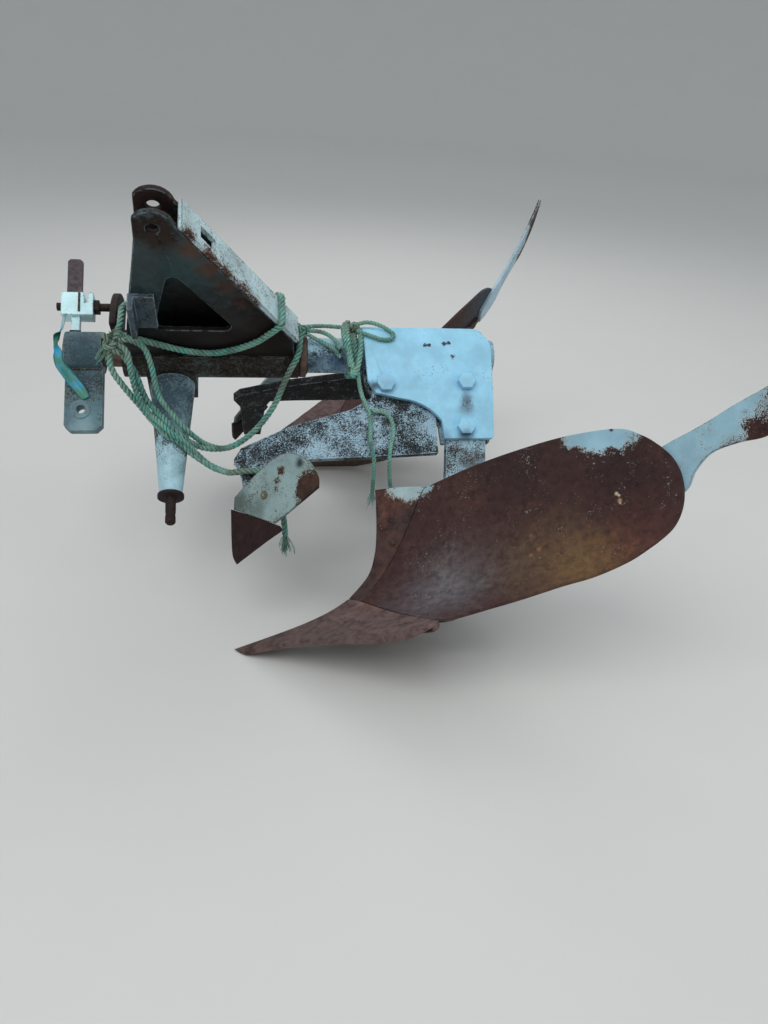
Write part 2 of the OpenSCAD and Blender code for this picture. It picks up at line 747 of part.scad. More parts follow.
// Route points in the left-hand body's frame: station, distance across, distance from the axis
EYE = [
    [410, 56, -50], [440, 60, -57], [468, 60, -51], [490, 58, -40], [503, 58, -28],
    [497, 58, -17], [474, 58, -15], [446, 59, -25], [416, 57, -36]
];
TAIL_FRONT = [
    [410, 44, 34], [416, 47, 62], [418, 43, 92], [426, 40, 126], [438, 40, 154], [439, 40, 190],
    [436, 40, 224], [442, 40, 262], [443, 26, 284], [443, 0, 308], [443, -20, 330]
];
TAIL_REAR = [
    [444, 40, 154], [470, 40, 154], [487, 40, 172], [490, 40, 204], [482, 40, 236],
    [478, 40, 262], [478, 26, 284], [482, 0, 308], [488, -20, 330]
];
LOOP_END = [
    [216, 42, 313], [219, 40, 326], [226, 30, 345], [234, 14, 366], [240, -4, 392], [243, -25, 420]
];
// Lashing on the beam tube: middle and width along the tube
lash_x = 410;
lash_w = 36;

// Turns a route's points into the left-hand body's frame
module hanging() {
    rotate([180, 0, 0]) children();
}

// Round tube along a route
module rope(route, d, sides = 10) {
    rings = len(route);
    function way(i) = let (v = route[min(i + 1, rings - 1)] - route[max(i - 1, 0)]) v / norm(v);
    function level(v, w) = let (p = v - (v * w) * w) p / norm(p);
    function sides_of(i, v) = i == rings ? [] : let (p = level(v, way(i))) concat([p], sides_of(i + 1, p));
    across = sides_of(0, [0, 0.6, 0.8]);
    points = [for (i = [0:rings - 1], k = [0:sides - 1])
        let (a = 360 * k / sides)
        route[i] + d / 2 * (cos(a) * across[i] + sin(a) * cross(way(i), across[i]))];
    function at(i, k) = i * sides + k % sides;
    skin = [for (i = [0:rings - 2], k = [0:sides - 1]) each [
        [at(i, k), at(i + 1, k), at(i + 1, k + 1)],
        [at(i, k), at(i + 1, k + 1), at(i, k + 1)]
    ]];
    ends = [[for (k = [0:sides - 1]) k], [for (k = [sides - 1:-1:0]) at(rings - 1, k)]];
    polyhedron(points = points, faces = concat(skin, ends), convexity = 8);
}

module rope_knots() {
    color(hemp) {
        for (knot = FRONT_KNOTS) translate(knot) sphere(d = 2.4 * rope_d, $fn = 24);
        translate(SLOPE_KNOT) sphere(d = 2 * rope_d, $fn = 24);
    }
}

// Turns round the beam tube, with the knot that ties them on top
module rope_lashing() {
    inner = tube_d / 2 + seat;
    color(hemp) {
        stance() translate([lash_x - lash_w / 2, 0, 0]) rotate([0, 90, 0])
            rotate_extrude($fn = fine) translate([inner, 0]) square([rope_d, lash_w]);
        stance() translate([lash_x, -8, inner + 1.6 * rope_d]) sphere(d = 2.8 * rope_d, $fn = 24);
    }
}

turnover_shaft();
beam_tube();
crank_arm();
latch_block();
latch_handle();
latch_plunger();
near_body() headpiece_outer();  // headpiece_outer_near
far_body() headpiece_outer();  // headpiece_outer_far
near_body() headpiece_inner();  // headpiece_inner_near
far_body() headpiece_inner();  // headpiece_inner_far
near_body() headpiece_bolts();  // headpiece_bolts_near
far_body() headpiece_bolts();  // headpiece_bolts_far
near_body() leg();  // leg_near
far_body() leg();  // leg_far
near_body() frog();  // frog_near
far_body() frog();  // frog_far
near_body() moldboard();  // moldboard_near
far_body() moldboard();  // moldboard_far
near_body() shin();  // shin_near
far_body() shin();  // shin_far
near_body() share();  // share_near
far_body() share();  // share_far
near_body() landside();  // landside_near
far_body() landside();  // landside_far
near_body() tail_piece();  // tail_piece_near
far_body() tail_piece();  // tail_piece_far
near_body() tail_stay();  // tail_stay_near
far_body() tail_stay();  // tail_stay_far
near_body() skimmer_arm();  // skimmer_arm_near
far_body() skimmer_arm(skim_drop);  // skimmer_arm_far
near_body() skimmer_board();  // skimmer_board_near
far_body() translate([0, 0, -skim_drop]) skimmer_board();  // skimmer_board_far
near_body() skimmer_share();  // skimmer_share_near
far_body() translate([0, 0, -skim_drop]) skimmer_share();  // skimmer_share_far
headstock() mast_plate(window = true);  // mast_near
headstock() mirror([0, 1, 0]) mast_plate();  // mast_far
headstock() mast_back();
headstock() mast_pad();
headstock() bearing_housing();
headstock() link_arm();  // link_arm_near
headstock() mirror([0, 1, 0]) link_arm();  // link_arm_far
headstock() link_pin();  // link_pin_near
headstock() mirror([0, 1, 0]) link_pin();  // link_pin_far
headstock() index_sector();
headstock() color(hemp) rope(TIE, rope_d);  // rope_tie
headstock() color(hemp) rope(LOOP_SHORT, rope_d);  // rope_loop_short
headstock() color(hemp) rope(LOOP_LONG, rope_d);  // rope_loop_long
headstock() color(hemp) rope(BRIDGE_UPPER, strand_d);  // rope_bridge_upper
headstock() color(hemp) rope(BRIDGE_MIDDLE, strand_d);  // rope_bridge_middle
headstock() color(hemp) rope(BRIDGE_LOWER, strand_d);  // rope_bridge_lower
headstock() rope_knots();
rope_lashing();
near_body() hanging() color(hemp) rope(EYE, strand_d);  // rope_eye
near_body() hanging() color(hemp) rope(TAIL_FRONT, strand_d);  // rope_tail_front
near_body() hanging() color(hemp) rope(TAIL_REAR, strand_d);  // rope_tail_rear
near_body() hanging() color(hemp) rope(LOOP_END, rope_d);  // rope_loop_end
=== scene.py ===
"""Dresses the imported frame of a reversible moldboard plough: camera, rope, worked plates, rust and
paint, welds, fasteners and stage. Sizes are in metres in the row frame. The coordinates of routes,
plates and zones are in millimetres, in the frame of a body, of a plate or of the headstock."""

import json
import math
import random

import bpy
from mathutils import Matrix, Quaternion, Vector, noise


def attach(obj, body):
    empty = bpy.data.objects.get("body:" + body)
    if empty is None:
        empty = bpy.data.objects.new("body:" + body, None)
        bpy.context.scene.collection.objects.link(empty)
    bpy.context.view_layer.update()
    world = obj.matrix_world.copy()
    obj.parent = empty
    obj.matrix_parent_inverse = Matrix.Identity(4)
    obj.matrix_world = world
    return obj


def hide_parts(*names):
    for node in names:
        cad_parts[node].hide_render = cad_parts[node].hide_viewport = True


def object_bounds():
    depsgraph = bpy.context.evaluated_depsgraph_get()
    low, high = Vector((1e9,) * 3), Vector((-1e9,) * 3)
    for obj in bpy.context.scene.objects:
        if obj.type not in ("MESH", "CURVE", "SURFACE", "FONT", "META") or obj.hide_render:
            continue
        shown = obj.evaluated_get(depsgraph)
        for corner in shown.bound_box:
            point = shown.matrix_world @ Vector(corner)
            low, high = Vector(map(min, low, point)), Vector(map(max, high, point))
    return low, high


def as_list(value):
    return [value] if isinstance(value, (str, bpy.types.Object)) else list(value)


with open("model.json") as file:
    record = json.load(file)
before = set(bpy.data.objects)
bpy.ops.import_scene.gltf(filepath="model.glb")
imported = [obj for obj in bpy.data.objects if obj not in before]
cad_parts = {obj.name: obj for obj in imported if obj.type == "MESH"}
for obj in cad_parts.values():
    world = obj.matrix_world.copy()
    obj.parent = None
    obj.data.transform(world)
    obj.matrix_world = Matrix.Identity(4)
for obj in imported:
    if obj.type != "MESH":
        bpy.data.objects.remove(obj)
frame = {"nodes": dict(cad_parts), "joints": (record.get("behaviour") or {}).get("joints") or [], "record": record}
CAD_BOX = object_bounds()
NODES = frame["nodes"]
MOUNTS = {mount["name"]: mount for mount in frame["record"]["mounts"]}
TURNOVER = frame["joints"][0]

bl_info = {
    "name": "Reversible Moldboard Plough", "version": (1, 0, 0), "blender": (4, 5, 0),
    "location": "View3D > Sidebar > Plough",
    "description": "Finishes a weathered reversible plough on its packed frame",
    "category": "Object",
}

# The two bodies and the headstock each have a frame of their own, on the turnover axis
AXIS = Vector((MOUNTS["top_link"]["pos_m"][0], 0, TURNOVER["pos_m"][2]))
EYE = Vector(MOUNTS["crank_eye"]["pos_m"])
ROLL = math.atan2(-EYE.y, AXIS.z - EYE.z)
LEAN = math.radians(TURNOVER["range_deg"][1]) / 2
NEAR = Matrix.Translation(AXIS) @ Matrix.Rotation(-ROLL, 4, "X")
FAR = Matrix.Diagonal((1, -1, 1, 1)) @ NEAR
HEAD = Matrix.Translation(AXIS) @ Matrix.Rotation(LEAN, 4, "X")
SIDES = {"near": NEAR, "far": FAR}


def body_point(s, c, r):
    """Point of a plough body: station, offset across the leg, distance from the axis."""
    return Vector((s, -c, -r)) / 1000


# Properties


def colour_property(name, description, default):
    return bpy.props.FloatVectorProperty(
        name=name, description=description, subtype="COLOR", size=3, default=default, min=0, max=1
    )


def size_property(name, description, default, low, high):
    return bpy.props.FloatProperty(
        name=name, description=description, subtype="DISTANCE", default=default, min=low, max=high
    )


class PloughPaintProperties(bpy.types.PropertyGroup):
    paint: colour_property("Paint", "Colour of the light blue paint", (0.40, 0.62, 0.74))
    grime: colour_property("Grime", "Colour of paint under dirt", (0.06, 0.085, 0.10))
    rust: colour_property("Rust", "Colour of even rust on bare steel", (0.095, 0.048, 0.038))
    bloom: colour_property("Rust Bloom", "Colour of fresh rust", (0.30, 0.14, 0.06))


class PloughPlateProperties(bpy.types.PropertyGroup):
    edge_radius: size_property("Edge Radius", "Rounding of cut plate edges", 0.0016, 0.0002, 0.004)
    worn_radius: size_property(
        "Worn Edge", "Rounding of the soil-worn edges", 0.0018, 0.0002, 0.003
    )
    dents: size_property("Dents", "Depth of shallow dents in worked plates", 0.0011, 0, 0.004)


class PloughStageProperties(bpy.types.PropertyGroup):
    floor: colour_property("Floor", "Colour of floor and backdrop", (0.62, 0.62, 0.60))
    key_power: bpy.props.FloatProperty(
        name="Key Light", description="Power of the overhead soft light", default=72, min=0, max=500
    )
    sky: bpy.props.FloatProperty(
        name="Sky", description="Strength of the even surrounding light", default=0.74, min=0, max=2
    )


def settings(group):
    return getattr(bpy.context.scene, "plough_" + group)


# Mesh helpers


def add_piece(name, verts, faces, material, body, place=None, smooth=True):
    """A mesh in the row frame that rides on a body, with place taking its points there."""
    mesh = bpy.data.meshes.new(name)
    if place is not None:
        verts = [place @ Vector(v) for v in verts]
        if place.determinant() < 0:
            faces = [tuple(reversed(f)) for f in faces]
    mesh.from_pydata([tuple(v) for v in verts], [], faces)
    if smooth:
        mesh.polygons.foreach_set("use_smooth", [True] * len(mesh.polygons))
    mesh.materials.append(material)
    return dress(bpy.data.objects.new(name, mesh), body)


def dress(obj, body):
    if obj.name not in bpy.context.scene.collection.objects:
        bpy.context.scene.collection.objects.link(obj)
    if body:
        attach(obj, body)
    return obj


SAME_SPOT = 2e-5
SMOOTH_BELOW = math.radians(32)


def round_edges(obj, radius, angle=35):
    """Live edge rounding and smooth shading below an angle, with the mesh itself untouched."""
    weld = obj.modifiers.new("Join Facets", "WELD")
    weld.merge_threshold = SAME_SPOT
    bevel = obj.modifiers.new("Round Edges", "BEVEL")
    bevel.width = radius
    bevel.segments = 2
    bevel.limit_method = "ANGLE"
    bevel.angle_limit = math.radians(angle)
    bevel.use_clamp_overlap = True
    shade = obj.modifiers.new("Smooth Low Angles", "NODES")
    shade.node_group = smoothing_tree()


# Node helpers, for shaders and geometry alike


def feed(tree, socket, value):
    if isinstance(value, bpy.types.NodeSocket):
        tree.links.new(value, socket)
    else:
        socket.default_value = value


def node(tree, kind, inputs=None, **attributes):
    made = tree.nodes.new(kind)
    for key, value in attributes.items():
        setattr(made, key, value)
    for key, value in (inputs or {}).items():
        feed(tree, made.inputs[key], value)
    return made


def result(tree, kind, inputs=None, **attributes):
    """First output of a new node."""
    return node(tree, kind, inputs, **attributes).outputs[0]


def calc(tree, operation, a, b=0.0, clamp=False):
    return result(tree, "ShaderNodeMath", {0: a, 1: b}, operation=operation, use_clamp=clamp)


def times(tree, a, b):
    return calc(tree, "MULTIPLY", a, b)


def plus(tree, a, b, clamp=False):
    return calc(tree, "ADD", a, b, clamp)


def minus(tree, a, b):
    return calc(tree, "SUBTRACT", a, b)


def per(tree, a, b):
    return calc(tree, "DIVIDE", a, b)


def blend_colour(tree, factor, a, b, mode="MIX"):
    made = node(tree, "ShaderNodeMix", {0: factor, 6: a, 7: b}, data_type="RGBA", blend_type=mode)
    return made.outputs[2]


def blend_value(tree, factor, a, b):
    return result(tree, "ShaderNodeMix", {0: factor, 2: a, 3: b}, data_type="FLOAT")


def cloud(tree, vector, scale, detail=4.0, roughness=0.55, distortion=0.0):
    made = node(
        tree, "ShaderNodeTexNoise",
        {
            "Vector": vector, "Scale": scale, "Detail": detail, "Roughness": roughness,
            "Distortion": distortion,
        },
    )
    return made.outputs["Fac"]


def ease(tree, value, low, high):
    """0 below low and 1 above high, with a soft step between."""
    made = node(
        tree, "ShaderNodeMapRange", {"Value": value, "From Min": low, "From Max": high},
        interpolation_type="SMOOTHSTEP",
    )
    return made.outputs[0]


FLOAT = "NodeSocketFloat"
INTEGER = "NodeSocketInt"
COLOUR = "NodeSocketColor"
VECTOR = "NodeSocketVector"
GEOMETRY = "NodeSocketGeometry"
MATERIAL = "NodeSocketMaterial"
SHADER_TREE = "ShaderNodeTree"
GEOMETRY_TREE = "GeometryNodeTree"


def node_group(title, kind, inputs, outputs):
    """Turns a function that fills a tree into one that gives the group, built at its first use."""

    def wrap(fill):
        def get():
            if title not in bpy.data.node_groups:
                tree = bpy.data.node_groups.new(title, kind)
                for name, socket_type, *default in inputs:
                    made = tree.interface.new_socket(name, in_out="INPUT", socket_type=socket_type)
                    if default:
                        made.default_value = default[0]
                for name, socket_type in outputs:
                    tree.interface.new_socket(name, in_out="OUTPUT", socket_type=socket_type)
                source = tree.nodes.new("NodeGroupInput").outputs
                fill(tree, source, tree.nodes.new("NodeGroupOutput").inputs)
            return bpy.data.node_groups[title]

        return get

    return wrap


@node_group("Smooth Low Angles", GEOMETRY_TREE, [("Geometry", GEOMETRY)], [("Geometry", GEOMETRY)])
def smoothing_tree(tree, source, sink):
    angle = node(tree, "GeometryNodeInputMeshEdgeAngle").outputs["Unsigned Angle"]
    low = result(tree, "FunctionNodeCompare", {0: angle, 1: SMOOTH_BELOW}, operation="LESS_THAN")
    faces = result(
        tree, "GeometryNodeSetShadeSmooth", {"Geometry": source["Geometry"], "Shade Smooth": True},
        domain="FACE",
    )
    edges = result(
        tree, "GeometryNodeSetShadeSmooth", {"Geometry": faces, "Shade Smooth": low}, domain="EDGE",
    )
    feed(tree, sink["Geometry"], edges)


# Shared finishes


def use_group(tree, group, **values):
    made = node(tree, "ShaderNodeGroup", node_tree=group)
    for key, value in values.items():
        feed(tree, made.inputs[key.replace("_", " ").title()], value)
    return made.outputs


def object_coords(tree):
    return node(tree, "ShaderNodeTexCoord").outputs["Object"]


@node_group(
    "Edge Wear", SHADER_TREE,
    [("Vector", VECTOR), ("Radius", FLOAT, 0.006), ("Breakup", FLOAT, 0.5)], [("Mask", FLOAT)],
)
def edge_group(tree, source, sink):
    """Mask of convex and concave edges, broken up by noise."""
    soft = node(tree, "ShaderNodeBevel", {"Radius": source["Radius"]}, samples=6)
    true = node(tree, "ShaderNodeNewGeometry").outputs["Normal"]
    dot = node(
        tree, "ShaderNodeVectorMath", {0: soft.outputs[0], 1: true}, operation="DOT_PRODUCT"
    ).outputs["Value"]
    bent = ease(tree, minus(tree, 1.0, dot), 0.004, 0.16)
    speckle = cloud(tree, source["Vector"], 60.0, 5.0, 0.65)
    kept = times(tree, minus(tree, speckle, 0.5), source["Breakup"])
    feed(tree, sink["Mask"], calc(tree, "MULTIPLY", bent, plus(tree, kept, 0.85), True))


@node_group(
    "Paint Chips", SHADER_TREE,
    [("Vector", VECTOR), ("Scale", FLOAT, 14.0), ("Cover", FLOAT, 0.3), ("Extra", FLOAT, 0.0)],
    [("Bare", FLOAT), ("Halo", FLOAT)],
)
def chip_group(tree, source, sink):
    """Where paint has gone: Bare is 1 on bare metal, Halo is the stained rim round it."""
    broad = cloud(tree, source["Vector"], source["Scale"], 3.0, 0.5, 0.4)
    fine = cloud(tree, source["Vector"], times(tree, source["Scale"], 8.0), 6.0, 0.72, 0.2)
    grit = cloud(tree, source["Vector"], 520.0, 2.0, 0.6)
    body = 0.5
    for layer, weight in ((broad, 0.55), (fine, 0.85), (grit, 0.95)):
        swing = times(tree, minus(tree, layer, 0.5), weight)
        body = plus(tree, body, swing)
    level = plus(tree, body, source["Extra"])
    limit = minus(tree, 0.80, times(tree, source["Cover"], 0.6))
    over = minus(tree, level, limit)
    feed(tree, sink["Bare"], ease(tree, over, -0.012, 0.016))
    feed(tree, sink["Halo"], ease(tree, over, -0.095, 0.0))


@node_group(
    "Rust", SHADER_TREE,
    [
        ("Vector", VECTOR), ("Scale", FLOAT, 9.0), ("Dark", COLOUR, (0.04, 0.02, 0.018, 1)),
        ("Middle", COLOUR, (0.1, 0.05, 0.04, 1)), ("Bright", COLOUR, (0.3, 0.14, 0.06, 1)),
    ],
    [("Color", COLOUR), ("Height", FLOAT)],
)
def rust_group(tree, source, sink):
    """Rust in three shades, with a height for its scale and pits."""
    vector, scale = source["Vector"], source["Scale"]
    broad = cloud(tree, vector, scale, 4.0, 0.6, 0.6)
    mottle = cloud(tree, vector, times(tree, scale, 6.0), 6.0, 0.7)
    grain = cloud(tree, vector, times(tree, scale, 42.0), 3.0, 0.7)
    shade = blend_colour(tree, ease(tree, mottle, 0.28, 0.62), source["Dark"], source["Middle"])
    lift = times(tree, ease(tree, broad, 0.50, 0.74), ease(tree, mottle, 0.30, 0.80))
    shade = blend_colour(tree, lift, shade, source["Bright"])
    speck = times(tree, ease(tree, grain, 0.60, 0.78), 0.35)
    shade = blend_colour(tree, speck, shade, source["Bright"])
    feed(tree, sink["Color"], shade)
    height = plus(tree, mottle, times(tree, grain, 0.6))
    feed(tree, sink["Height"], height)


@node_group(
    "Ragged Zone", SHADER_TREE,
    [("Vector", VECTOR), ("Centre", VECTOR), ("Radius", FLOAT, 0.05), ("Ragged", FLOAT, 0.3)],
    [("Mask", FLOAT)],
)
def zone_group(tree, source, sink):
    """A ragged round zone: 1 near its centre, 0 outside its radius."""
    away = node(
        tree, "ShaderNodeVectorMath", {0: source["Vector"], 1: source["Centre"]},
        operation="DISTANCE",
    ).outputs["Value"]
    grain = per(tree, 1.6, source["Radius"])
    rough = minus(tree, cloud(tree, source["Vector"], grain, 5.0, 0.65), 0.5)
    wander = times(tree, times(tree, rough, source["Ragged"]), 3.4)
    near = per(tree, away, source["Radius"])
    feed(tree, sink["Mask"], ease(tree, plus(tree, near, wander), 1.55, 0.30))


@node_group(
    "Soft Wash", SHADER_TREE, [("Vector", VECTOR), ("Centre", VECTOR), ("Radius", FLOAT, 0.05)],
    [("Mask", FLOAT)],
)
def wash_group(tree, source, sink):
    """A soft round zone: 1 at its centre, fading to 0 at its radius."""
    away = node(
        tree, "ShaderNodeVectorMath", {0: source["Vector"], 1: source["Centre"]},
        operation="DISTANCE",
    ).outputs["Value"]
    near = per(tree, away, source["Radius"])
    rough = minus(tree, cloud(tree, source["Vector"], 55.0, 5.0, 0.7), 0.5)
    feed(tree, sink["Mask"], ease(tree, plus(tree, near, times(tree, rough, 0.9)), 1.0, 0.1))


def srgb(red, green, blue):
    """Linear colour of an 8-bit screen colour."""
    return tuple(((v / 255 + 0.055) / 1.055) ** 2.4 for v in (red, green, blue))


def colour4(value, scale=1.0):
    return (*[min(1.0, channel * scale) for channel in value[:3]], 1.0)


def screen(colour):
    """Linear colour, with alpha, of an 8-bit screen colour."""
    return colour4(srgb(*colour))


def new_material(name):
    """A material with its tree, its shader and object coordinates."""
    material = bpy.data.materials.new(name)
    material.use_nodes = True
    tree = material.node_tree
    return material, tree, tree.nodes["Principled BSDF"], object_coords(tree)


def add_bump(tree, shader, height, strength, distance):
    inputs = {"Strength": strength, "Distance": distance, "Height": height}
    feed(tree, shader.inputs["Normal"], result(tree, "ShaderNodeBump", inputs))


def blend_in_wash(tree, place, tone, colour, centre, radius, weight=None, mode="MIX"):
    """Blends a colour into a tone inside a soft round wash."""
    share = use_group(tree, wash_group(), vector=place, centre=tuple(centre), radius=radius)["Mask"]
    if weight is not None:
        share = times(tree, share, weight)
    return blend_colour(tree, share, tone, colour, mode)


SPECULAR = 0.20
BARE_ROUGHNESS = 0.72


def weathered(
    name, cover, paint=None, metal=None, rim=(170, 140, 112), grime=0.25, chip_scale=14.0,
    edge=0.30, bare_zones=(), paint_zones=(), tints=(), washes=(), edge_highlight_and_wear=None, rust_scale=9.0,
    gloss=0.42, relief=1.0,
):
    """Paint over bare metal, in 8-bit colours. cover is the share of bare metal.

    Zones are (centre, radius, weight); tints, on the metal, and washes, over all, are
    (centre, radius, colour, weight). Washes lay real stains, and on some parts painted shade
    and painted highlights. metal is the dark, middle and bright shade of the rust, rim the
    stained ring round chips, and the edge colour a painted highlight along edges, mixed with
    rubbed paint.
    """
    colours = settings("paint")
    paint = srgb(*paint) if paint else tuple(colours.paint)
    if metal:
        metal = [srgb(*shade) for shade in metal]
    else:
        fresh = [0.55 * a + 0.45 * b for a, b in zip(colours.rust, colours.bloom)]
        metal = [[0.5 * channel for channel in colours.rust], colours.rust, fresh]
    material, tree, shader, place = new_material(name)
    shader.inputs["Specular IOR Level"].default_value = SPECULAR
    worn_edge = use_group(tree, edge_group(), vector=place, radius=0.005, breakup=0.9)["Mask"]
    extra = times(tree, worn_edge, edge)
    for zones, sign in ((bare_zones, 1.0), (paint_zones, -1.0)):
        for centre, radius, weight in zones:
            mask = use_group(
                tree, zone_group(), vector=place, centre=tuple(centre), radius=radius, ragged=0.42
            )["Mask"]
            extra = plus(tree, extra, times(tree, mask, sign * weight))
    chips = use_group(tree, chip_group(), vector=place, scale=chip_scale, cover=cover, extra=extra)
    rust = use_group(
        tree, rust_group(), vector=place, scale=rust_scale, dark=colour4(metal[0]),
        middle=colour4(metal[1]), bright=colour4(metal[2]),
    )
    steel = rust["Color"]
    for centre, radius, colour, weight in tints:
        ratio = [a / b for a, b in zip(srgb(*colour), metal[1])]
        steel = blend_in_wash(tree, place, steel, (*ratio, 1.0), centre, radius, weight, "MULTIPLY")
    dirt_noise = cloud(tree, place, 7.0, 6.0, 0.65, 0.5)
    dirt = ease(tree, dirt_noise, 0.66 - 0.45 * grime, 0.92 - 0.35 * grime)
    dirt = times(tree, dirt, 0.9)
    specks = ease(tree, cloud(tree, place, 150.0, 5.0, 0.75), 0.60 - 0.1 * grime, 0.72)
    dirt = plus(tree, dirt, times(tree, specks, 0.15 + 0.5 * grime), True)
    tone = blend_colour(
        tree, ease(tree, cloud(tree, place, 16.0, 5.0, 0.6), 0.3, 0.7), colour4(paint, 0.84),
        colour4(paint, 1.08),
    )
    tone = blend_colour(tree, dirt, tone, colour4(colours.grime))
    stained = times(tree, chips["Halo"], 0.70)
    tone = blend_colour(tree, stained, tone, screen(rim))
    tone = blend_colour(tree, chips["Bare"], tone, steel)
    # Washes lay real stains, and on some parts painted shade and painted highlights
    for centre, radius, colour, weight in washes:
        tone = blend_in_wash(tree, place, tone, screen(colour), centre, radius, weight)
    # Edges take the edge colour: a painted highlight along the edges, mixed with rubbed paint
    if edge_highlight_and_wear:
        patchy = ease(tree, cloud(tree, place, 70.0, 5.0, 0.7), 0.42, 0.56)
        share = times(tree, times(tree, worn_edge, patchy), 0.85)
        tone = blend_colour(tree, share, tone, screen(edge_highlight_and_wear))
    feed(tree, shader.inputs["Base Color"], tone)
    wear = blend_value(tree, chips["Bare"], gloss, BARE_ROUGHNESS)
    dull = times(tree, dirt, 0.25)
    feed(tree, shader.inputs["Roughness"], plus(tree, wear, dull, True))
    layer = times(tree, minus(tree, 1.0, chips["Bare"]), 0.8)
    pits = times(tree, rust["Height"], blend_value(tree, chips["Bare"], 0.2, 0.9))
    add_bump(tree, shader, plus(tree, layer, pits), 0.55 * relief, 0.0011)
    return material


# Camera


class PLOUGH_OT_camera(bpy.types.Operator):
    """Camera at the photograph's place and angle"""

    bl_idname = "plough.camera"
    bl_label = "Camera"

    def execute(self, context):
        focal_px, height_px, sensor = 838.3, 1024, 24.0
        azimuth, pitch, roll = (math.radians(a) for a in (-11.0, 28.36, 4.13))
        data = bpy.data.cameras.new("Camera")
        data.sensor_fit = "VERTICAL"
        data.sensor_height = sensor
        data.lens = sensor * focal_px / height_px
        data.clip_start = 0.05
        camera = bpy.data.objects.new("Camera", data)
        forward = Vector(
            (
                -math.sin(azimuth) * math.cos(pitch), math.cos(azimuth) * math.cos(pitch),
                -math.sin(pitch),
            )
        )
        turn = forward.to_track_quat("-Z", "Y") @ Quaternion((0, 0, 1), roll)
        camera.location = (-0.267, -1.884, 1.112)
        camera.rotation_euler = turn.to_euler()
        context.scene.collection.objects.link(camera)
        context.scene.camera = camera
        return {"FINISHED"}


# Ropes: laid from three strands along the frame's own routes, in millimetres


def head_at(s, m, u):
    """Row-frame point of the headstock: station, offset across, height above the turnover axis."""
    return HEAD @ (Vector((s, m, u)) / 1000)


def near_at(s, c, r):
    return NEAR @ body_point(s, c, r)


ROUTES = {
    "rope_tie": (
        head_at, 14, "knot", "taut",
        [
            (-98, -54, 121), (-60, -42, 108), (-14, -42, 89), (34, -42, 70), (88, -42, 62),
            (140, -42, 76), (190, -42, 106), (220, -42, 140), (240, -43, 164), (244, -30, 170),
            (242, 0, 168), (244, 30, 170), (240, 43, 164), (220, 42, 140), (190, 42, 106),
            (140, 42, 76), (88, 42, 62), (34, 42, 70), (-14, 42, 89), (-60, 42, 108),
            (-90, 40, 123), (-94, 4, 128), (-95, -24, 128), (-106, -46, 125)
        ],
    ),
    "rope_loop_short": (
        head_at, 14, "knot", "hanging",
        [
            (288, 10, 66), (284, -20, 59), (280, -38, 48), (262, -60, 24), (246, -78, -16),
            (234, -99, -37), (210, -130, -58), (175, -165, -75), (130, -196, -80), (82, -213, -60),
            (44, -216, -32), (31, -213, -11), (14, -208, 0), (-11, -175, 3), (-34, -143, -8),
            (-53, -128, 16), (-70, -96, 64), (-98, -66, 106)
        ],
    ),
    "rope_loop_long": (
        head_at, 14, "object", "hanging",
        [
            (-114, -64, 112), (-118, -92, 78), (-92, -118, 36), (-68, -134, 0), (-47, -152, -26),
            (-24, -190, -4), (-2, -218, 2), (14, -224, -2), (28, -232, -12), (40, -238, -30),
            (64, -252, -41), (94, -275, -38), (130, -296, -20), (148, -296, -12), (177, -296, -12),
            (204, -296, -12)
        ],
    ),
    "rope_bridge_upper": (
        head_at, 10, "object", "taut", [(297, 31, 66), (340, 35, 65), (379, 34, 63)]
    ),
    "rope_bridge_middle": (
        head_at, 10, "object", "hanging",
        [(302, 22, 64), (340, 26, 53), (366, 6, 53), (378, -18, 49)],
    ),
    "rope_bridge_lower": (
        head_at, 10, "object", "hanging",
        [(300, 12, 66), (326, 6, 52), (356, -12, 50), (378, -33, 39)],
    ),
    "rope_eye": (
        near_at, 10, "knot", "hanging",
        [
            (410, 56, -50), (440, 60, -57), (468, 60, -51), (490, 58, -40), (503, 58, -28),
            (497, 58, -17), (474, 58, -15), (446, 59, -25), (416, 57, -36)
        ],
    ),
    "rope_tail_front": (
        near_at, 10, "bare", "hanging",
        [
            (410, 44, 34), (416, 47, 62), (418, 43, 92), (426, 40, 126), (438, 40, 154),
            (439, 40, 190), (436, 40, 224), (442, 40, 262), (443, 26, 284), (443, 0, 308),
            (443, -20, 330)
        ],
    ),
    "rope_tail_rear": (
        near_at, 10, "bare", "hanging",
        [
            (444, 40, 154), (470, 40, 154), (487, 40, 172), (490, 40, 204), (482, 40, 236),
            (478, 40, 262), (478, 26, 284), (482, 0, 308), (488, -20, 330)
        ],
    ),
    "rope_loop_end": (
        near_at, 14, "bare", "hanging",
        [
            (216, 42, 313), (219, 40, 326), (226, 30, 345), (234, 14, 366), (240, -4, 392),
            (243, -25, 420)
        ],
    ),
}

# Two more strands, which run beside the loops
STRANDS = (
    [
        (-100, -62, 124), (-80, -80, 112), (-76, -104, 76), (-68, -130, 34), (-50, -150, 2),
        (-24, -186, 14), (6, -218, 14), (34, -229, -8), (52, -240, -28), (80, -262, -41),
        (110, -284, -30), (130, -296, -20)
    ],
    [
        (-84, -56, 132), (-48, -66, 114), (-34, -92, 80), (-28, -118, 50), (-18, -140, 26),
        (-2, -160, 18), (18, -186, 12), (36, -202, 2), (52, -206, -22), (74, -207, -50),
        (104, -206, -70), (130, -196, -80), (150, -183, -78)
    ],
)


def spline(a, b, c, d, t):
    return 0.5 * (
        2 * b + (c - a) * t + (2 * a - 5 * b + 4 * c - d) * t * t
        + (3 * b - a - 3 * c + d) * t * t * t
    )


def along(points, t):
    count = len(points) - 1
    k = min(int(t * count), count - 1)
    return spline(
        points[max(k - 1, 0)], points[k], points[k + 1], points[min(k + 2, count)], t * count - k
    )


def path_length(points):
    return sum((b - a).length for a, b in zip(points, points[1:]))


